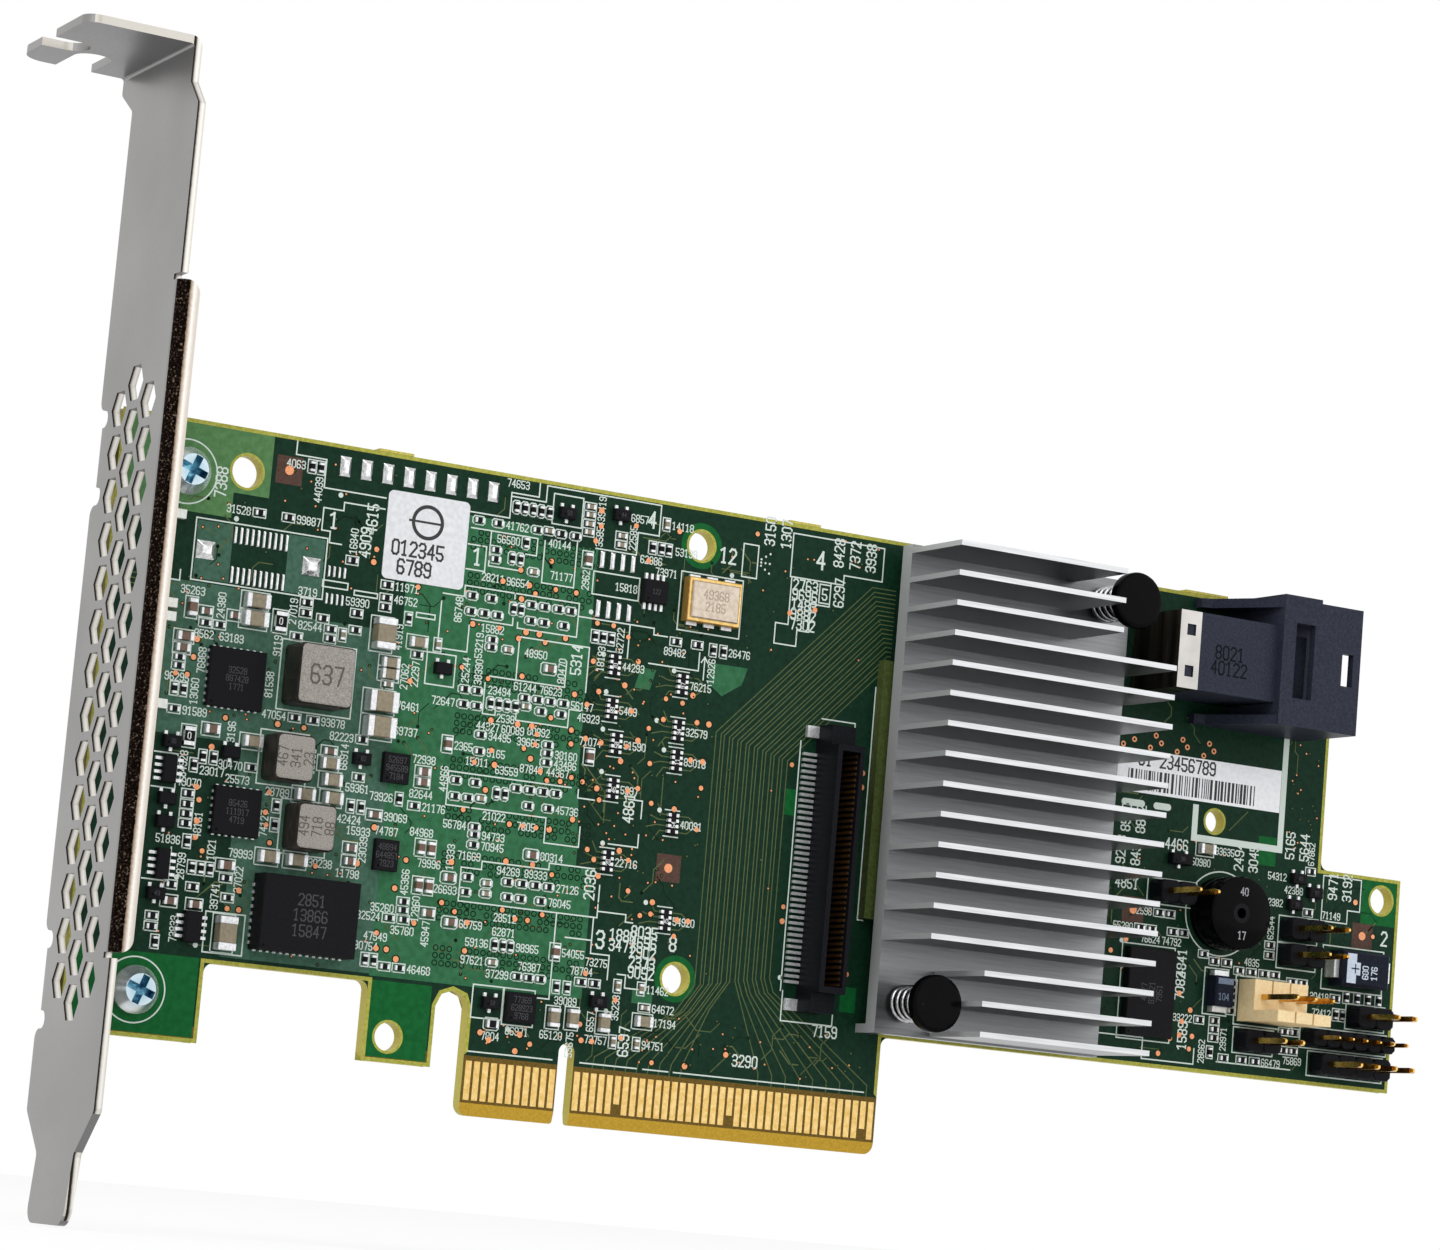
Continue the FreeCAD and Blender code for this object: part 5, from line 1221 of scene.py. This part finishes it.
def polar_parts():
    """Moulded tantalum part with a pale stripe and plus sign, and the small polar one."""
    shape = Shape()
    (low, high), = islands("tantalum_capacitor")
    crowned(shape, low, high, 0.3, 0)
    top = top_of(low)
    x0 = low.x + 0.45
    shape.plate(x0, x0 + 1.35, low.z + 0.35, high.z - 0.35, top + 0.006, 1)
    z = (low.z + high.z) / 2
    shape.plate(x0 + 0.5, x0 + 1.95, z - 0.75, z + 0.75, top + 0.009, 1)
    shape.line([(x0 + 0.7, z), (x0 + 1.7, z)], 0.16, top + 0.012, 0)
    shape.line([(x0 + 1.2, z - 0.5), (x0 + 1.2, z + 0.5)], 0.16, top + 0.012, 0)
    for text, shift in (("680", 3.1), ("176", 4.4)):
        shape.write(text, x0 + shift, z - 1.1, 0.8, True, top + 0.01, 0.13, 1)
    shape.finish("tantalum_body", "tantalum_black", [TANTALUM, STRIPE], replaces=("tantalum_capacitor",))
    small = Shape()
    (low, high), = islands("polar_capacitor")
    crowned(small, low, high, 0.2, 0)
    small.plate(low.x + 0.22, high.x - 0.22, high.z - 0.95, high.z - 0.25, top_of(low) + 0.006, 1)
    small.write("104", low.x + 0.4, low.z + 0.75, 0.75, False, top_of(low) + 0.01, 0.1, 1)
    small.finish("polar_body", "tantalum_black", [TANTALUM, STRIPE_BLUE], replaces=("polar_capacitor",))


def pin_bars(name, node):
    """Square gilt pins with pointed tips at both ends."""
    shape = Shape()
    for low, high in islands(node):
        (x, z), half, tip = middle(low, high), (high.x - low.x) / 2, 0.5
        shape.stack([corners(x - size, x + size, z - size, z + size, y) for size, y in (
            (half * 0.45, high.y), (half, high.y - tip), (half, low.y + tip), (half * 0.45, low.y))])
    shape.finish(name, "gold", [PIN_GOLD], replaces=(node,))


def header_strips():
    """Header mouldings: one eight-sided cell round each pin."""
    shape = Shape()
    pins = [middle(*pin) for pin in islands("header_pins")]
    for low, high in islands("header_bases"):
        inside = [(x, z) for x, z in pins if low.x < x < high.x and low.z < z < high.z]
        columns, rows = len({round(x, 1) for x, z in inside}), len({round(z, 1) for x, z in inside})
        wide, tall, top = (high.x - low.x) / columns, (high.z - low.z) / rows, top_of(low)
        a, b, c = wide / 2, tall / 2, 0.42
        plan = ((a - c, -b), (a, c - b), (a, b - c), (a - c, b),
                (c - a, b), (-a, b - c), (-a, c - b), (c - a, -b))
        for x, z in {(round(x, 2), round(z, 2)) for x, z in inside}:
            shape.stack([[(x + dx * scale, FACE - height, z + dz * scale) for dx, dz in plan]
                         for scale, height in ((1, 0), (1, top - 0.12), (0.92, top))], closed=False)
        shape.box(low.x + wide * 0.25, high.x - wide * 0.25, low.z + 0.45, high.z - 0.45, 0.1, top - 0.25)
    shape.finish("header_mouldings", "connector_black", [DARK_SHELL], replaces=("header_bases",))


def marked_chip_parts():
    """Larger resistors and four-way arrays: black tops, white edges, numbers, metal ends."""
    draw = random.Random(9)
    shape = Shape()
    for low, high in islands("marked_resistors"):
        x0, x1, z0, z1, top = low.x, high.x, low.z, high.z, top_of(low)
        shape.box(x0, x1, z0, z1, 0, top - 0.04, 1)
        if x1 - x0 > z1 - z0:
            shape.box(x0 + 0.25, x1 - 0.25, z0 + 0.02, z1 - 0.02, top - 0.05, top, 0)
            shape.box(x0 - 0.01, x0 + 0.25, z0, z1, 0, top, 2)
            shape.box(x1 - 0.25, x1 + 0.01, z0, z1, 0, top, 2)
        else:
            shape.box(x0 + 0.02, x1 - 0.02, z0 + 0.4, z1 - 0.4, top - 0.05, top, 0)
            shape.box(x0, x1, z0 - 0.01, z0 + 0.4, 0, top, 2)
            shape.box(x0, x1, z1 - 0.4, z1 + 0.01, 0, top, 2)
            x, z = middle(low, high)
            shape.write("0", x - 0.22, z - 0.32, 0.65, False, top + 0.01, 0.1, 1)
    shape.finish("marked_resistor_chips", "resistor_black", [RESIST, ALUMINA, TIN],
                 replaces=("marked_resistors",))
    arrays = Shape()
    for low, high in islands("resistor_arrays"):
        x0, x1, z0, z1, top = low.x, high.x, low.z, high.z, top_of(low)
        arrays.box(x0 + 0.12, x1 - 0.12, z0, z1, 0, top - 0.03, 0)
        pitch = (z1 - z0) / 4
        for k in range(4):
            z = z0 + pitch * (k + 0.5)
            for side in (x0, x1 - 0.34):
                arrays.box(side, side + 0.34, z - 0.17, z + 0.17, 0, top, 1)
        x = (x0 + x1) / 2 + 0.25
        arrays.write(str(draw.randint(11, 99)), x, z0 + 0.75, 0.5, True, top + 0.01, 0.08, 2)
    arrays.finish("array_chips", "resistor_black", [RESIST, TIN, ALUMINA], replaces=("resistor_arrays",))


def pad_metal():
    """Solder on the bare pads is domed, so each pad gets a raised middle."""
    shape = Shape()
    for low, high in islands("bare_pads"):
        inset = min(high.x - low.x, high.z - low.z) * 0.28
        shape.stack([inset_ring(low, high, i, height) for i, height in (
            (0, 0), (0, 0.05), (inset, 0.05 + inset * 0.8))], closed=False)
    shape.finish("solder_pads", "tin", [SOLDER], bevel=0.06, replaces=("bare_pads",))


def label_prints():
    """Plain numbers, a bar field and a ring on the two paper labels."""
    shape = Shape()
    (low, high), = islands("round_corner_label")
    top = top_of(low) + 0.006
    x, z = (low.x + high.x) / 2, high.z - 2.9
    shape.ring(x, z, 1.5, 1.9, top, 40)
    shape.line([(x - 2.1, z), (x + 1.5, z)], 0.24, top + 0.002)
    shape.write("012345", low.x + 0.95, low.z + 2.75, 1.5, False, top, 0.24)
    shape.write("6789", low.x + 1.75, low.z + 0.75, 1.5, False, top, 0.24)
    (low, high), = islands("strip_label")
    top = top_of(low) + 0.006
    draw = random.Random(21)
    shape.write("01 23456789", low.x + 5.0, high.z - 1.75, 1.45, False, top, 0.22)
    x = low.x + 3.6
    while x < high.x - 3.6:
        bar = draw.choice((0.14, 0.14, 0.24, 0.36))
        shape.plate(x, x + bar, low.z + 0.35, low.z + 2.7, top)
        x += bar + draw.choice((0.14, 0.2, 0.3))
    shape.finish("label_prints", "label_paper", [INK])


def connector_marks():
    """Faint moulded numbers on top of the storage connector."""
    shape = Shape()
    low, high = box_mm("sas_connector_core")
    top = FACE - low.y + 0.006
    shape.write("8021", low.x + 4.9, high.z - 5.0, 1.5, False, top, 0.2)
    shape.write("40122", low.x + 4.4, low.z + 2.2, 1.5, False, top, 0.2)
    shape.finish("connector_marks", "connector_black", [SHELL_MARK])


# ---- stage ----
def seen_directly(nodes, links):
    """1 for rays from the camera, off a gloss or through glass, which meet the plain white backdrop."""
    path = nodes.new("ShaderNodeLightPath")
    last = path.outputs["Is Camera Ray"]
    for kind in ("Is Glossy Ray", "Is Transmission Ray"):
        either = nodes.new("ShaderNodeMath")
        either.operation = "MAXIMUM"
        links.new(last, either.inputs[0])
        links.new(path.outputs[kind], either.inputs[1])
        last = either.outputs[0]
    return last


ROOM_LEVEL = 0.7
# Lamps by name, place, size and watts.
LAMPS = (("key", (-0.5, -0.6, 0.9), 1.0, 6.5), ("fill", (0.6, -0.7, 0.2), 0.8, 1.5))
LAMPS_AIM = (0.02, 0, 0.04)


def light_room():
    """White backdrop that gives an even room light, a soft lamp above and a weak one at the right."""
    world = bpy.data.worlds.new("studio")
    bpy.context.scene.world = world
    world.use_nodes = True
    nodes, links = world.node_tree.nodes, world.node_tree.links
    level = nodes.new("ShaderNodeMapRange")
    level.inputs["To Min"].default_value = ROOM_LEVEL
    level.inputs["To Max"].default_value = 1.0
    links.new(seen_directly(nodes, links), level.inputs["Value"])
    nodes["Background"].inputs["Color"].default_value = (1, 1, 1, 1)
    links.new(level.outputs["Result"], nodes["Background"].inputs["Strength"])
    for name, place, size, power in LAMPS:
        lamp = bpy.data.lights.new(name, "AREA")
        lamp.size = size
        lamp.energy = power
        holder = bpy.data.objects.new(name, lamp)
        holder.location = place
        aim = Vector(LAMPS_AIM) - Vector(place)
        holder.rotation_euler = aim.to_track_quat("-Z", "Y").to_euler()
        bpy.context.scene.collection.objects.link(holder)


FLOOR_GAP = 0.0002
FLOOR_REACH = 3.0


def lay_floor():
    """Pale floor under the bracket's foot: it shows as the backdrop, and keeps a light shadow."""
    level = CAD_BOX[0][2] - FLOOR_GAP
    mesh = bpy.data.meshes.new("floor")
    reach = FLOOR_REACH
    mesh.from_pydata([(-reach, -reach, level), (reach, -reach, level), (reach, reach, level),
                      (-reach, reach, level)], [], [(0, 1, 2, 3)])
    floor = bpy.data.objects.new("floor", mesh)
    made = Surface("pale floor", rough=0.9)
    made.paint(made.shades(made.noise(40), "f4f4f4", "f8f8f8"))
    glow = made.nodes.new("ShaderNodeEmission")
    glow.inputs["Color"].default_value = (1, 1, 1, 1)
    share = made.times(seen_directly(made.nodes, made.links), 0.85)
    blend = made.nodes.new("ShaderNodeMixShader")
    made.links.new(share, blend.inputs["Fac"])
    made.links.new(made.shader.outputs["BSDF"], blend.inputs[1])
    made.links.new(glow.outputs["Emission"], blend.inputs[2])
    made.links.new(blend.outputs["Shader"], made.nodes["Material Output"].inputs["Surface"])
    mesh.materials.append(made.material)
    bpy.context.scene.collection.objects.link(floor)


CAMERA_PLACE = (-0.215718, -0.422476, -0.009528)
CAMERA_ANGLES = (-28.6038, -7.7954, 4.8911)  # turn, rise and roll in degrees
CAMERA_LENS, CAMERA_SENSOR = 109.829, 36.0


def set_camera():
    """Camera left of and a little below the card, turned so that the board falls to the right."""
    turn, rise, roll = (math.radians(angle) for angle in CAMERA_ANGLES)
    back = Vector((math.sin(turn) * math.cos(rise), -math.cos(turn) * math.cos(rise), math.sin(rise)))
    right = (-back).cross(Vector((0, 0, 1))).normalized()
    up = right.cross(-back)
    side = math.cos(roll) * right + math.sin(roll) * up
    top = -math.sin(roll) * right + math.cos(roll) * up
    lens = bpy.data.cameras.new("camera")
    lens.sensor_fit = "HORIZONTAL"
    lens.sensor_width = CAMERA_SENSOR
    lens.lens = CAMERA_LENS
    lens.clip_start = 0.01
    holder = bpy.data.objects.new("camera", lens)
    rotation = Matrix((side, top, back)).transposed().to_4x4()
    holder.matrix_world = Matrix.Translation(CAMERA_PLACE) @ rotation
    bpy.context.scene.collection.objects.link(holder)
    bpy.context.scene.camera = holder


dress_nodes()
coil_springs()
chip_parts("resistor_chips", "small_resistors", "resistor_black", [RESIST, TIN], 0.24, 0.02, 0.02)
chip_parts("small_capacitor_chips", "small_capacitors", "capacitor_tan", [TAN, TIN], 0.26, 0.02, 0.02)
chip_parts("medium_capacitor_chips", "medium_capacitors", "capacitor_tan", [BROWN, TIN], 0.24)
chip_parts("large_capacitor_chips", "large_capacitors", "capacitor_tan", [TAN, TIN], 0.22, 0.04, 0.06)
moulded_chips("quad_packages", "quad_flat_chips", "chip_black", random.Random(1), 0.62, (5, 6, 4), 0.06)
moulded_chips("outline_packages", "small_outline_chips", "chip_black", random.Random(2), 0.5, (3,), 0.12)
moulded_chips("transistor_packages", "transistors", "chip_black", random.Random(3), 0.45, (2,), 0.12)
moulded_chips("memory_package", "memory_chip", "chip_black", random.Random(4), 0.75, (4, 5, 4), 0.1, True)
moulded_chips("power_package", "power_module", "chip_black", random.Random(6), 1.15, (4, 5, 5), 0.12)
inductors("large_inductor", "power_inductor_large", random.Random(7), (3,), 1.9, False)
inductors("small_inductors", "power_inductors_small", random.Random(8), (3, 3, 2), 1.05, True)
push_pins()
sound_disc()
crystal_can()
polar_parts()
header_strips()
pin_bars("header_pin_bars", "header_pins")
pin_bars("locking_pin_bars", "locking_connector_pins")
marked_chip_parts()
pad_metal()
label_prints()
connector_marks()
lay_pours()
lay_rim("laminate_rim", False)
lay_rim("laminate_rim_back", True)
lay_runs(random.Random(14))
lay_back(random.Random(17))
solder_joints()
lay_tracks()
lay_vias(random.Random(11))
screen_print(random.Random(5))
light_room()
lay_floor()
set_camera()
bpy.context.scene.view_settings.view_transform = "Standard"
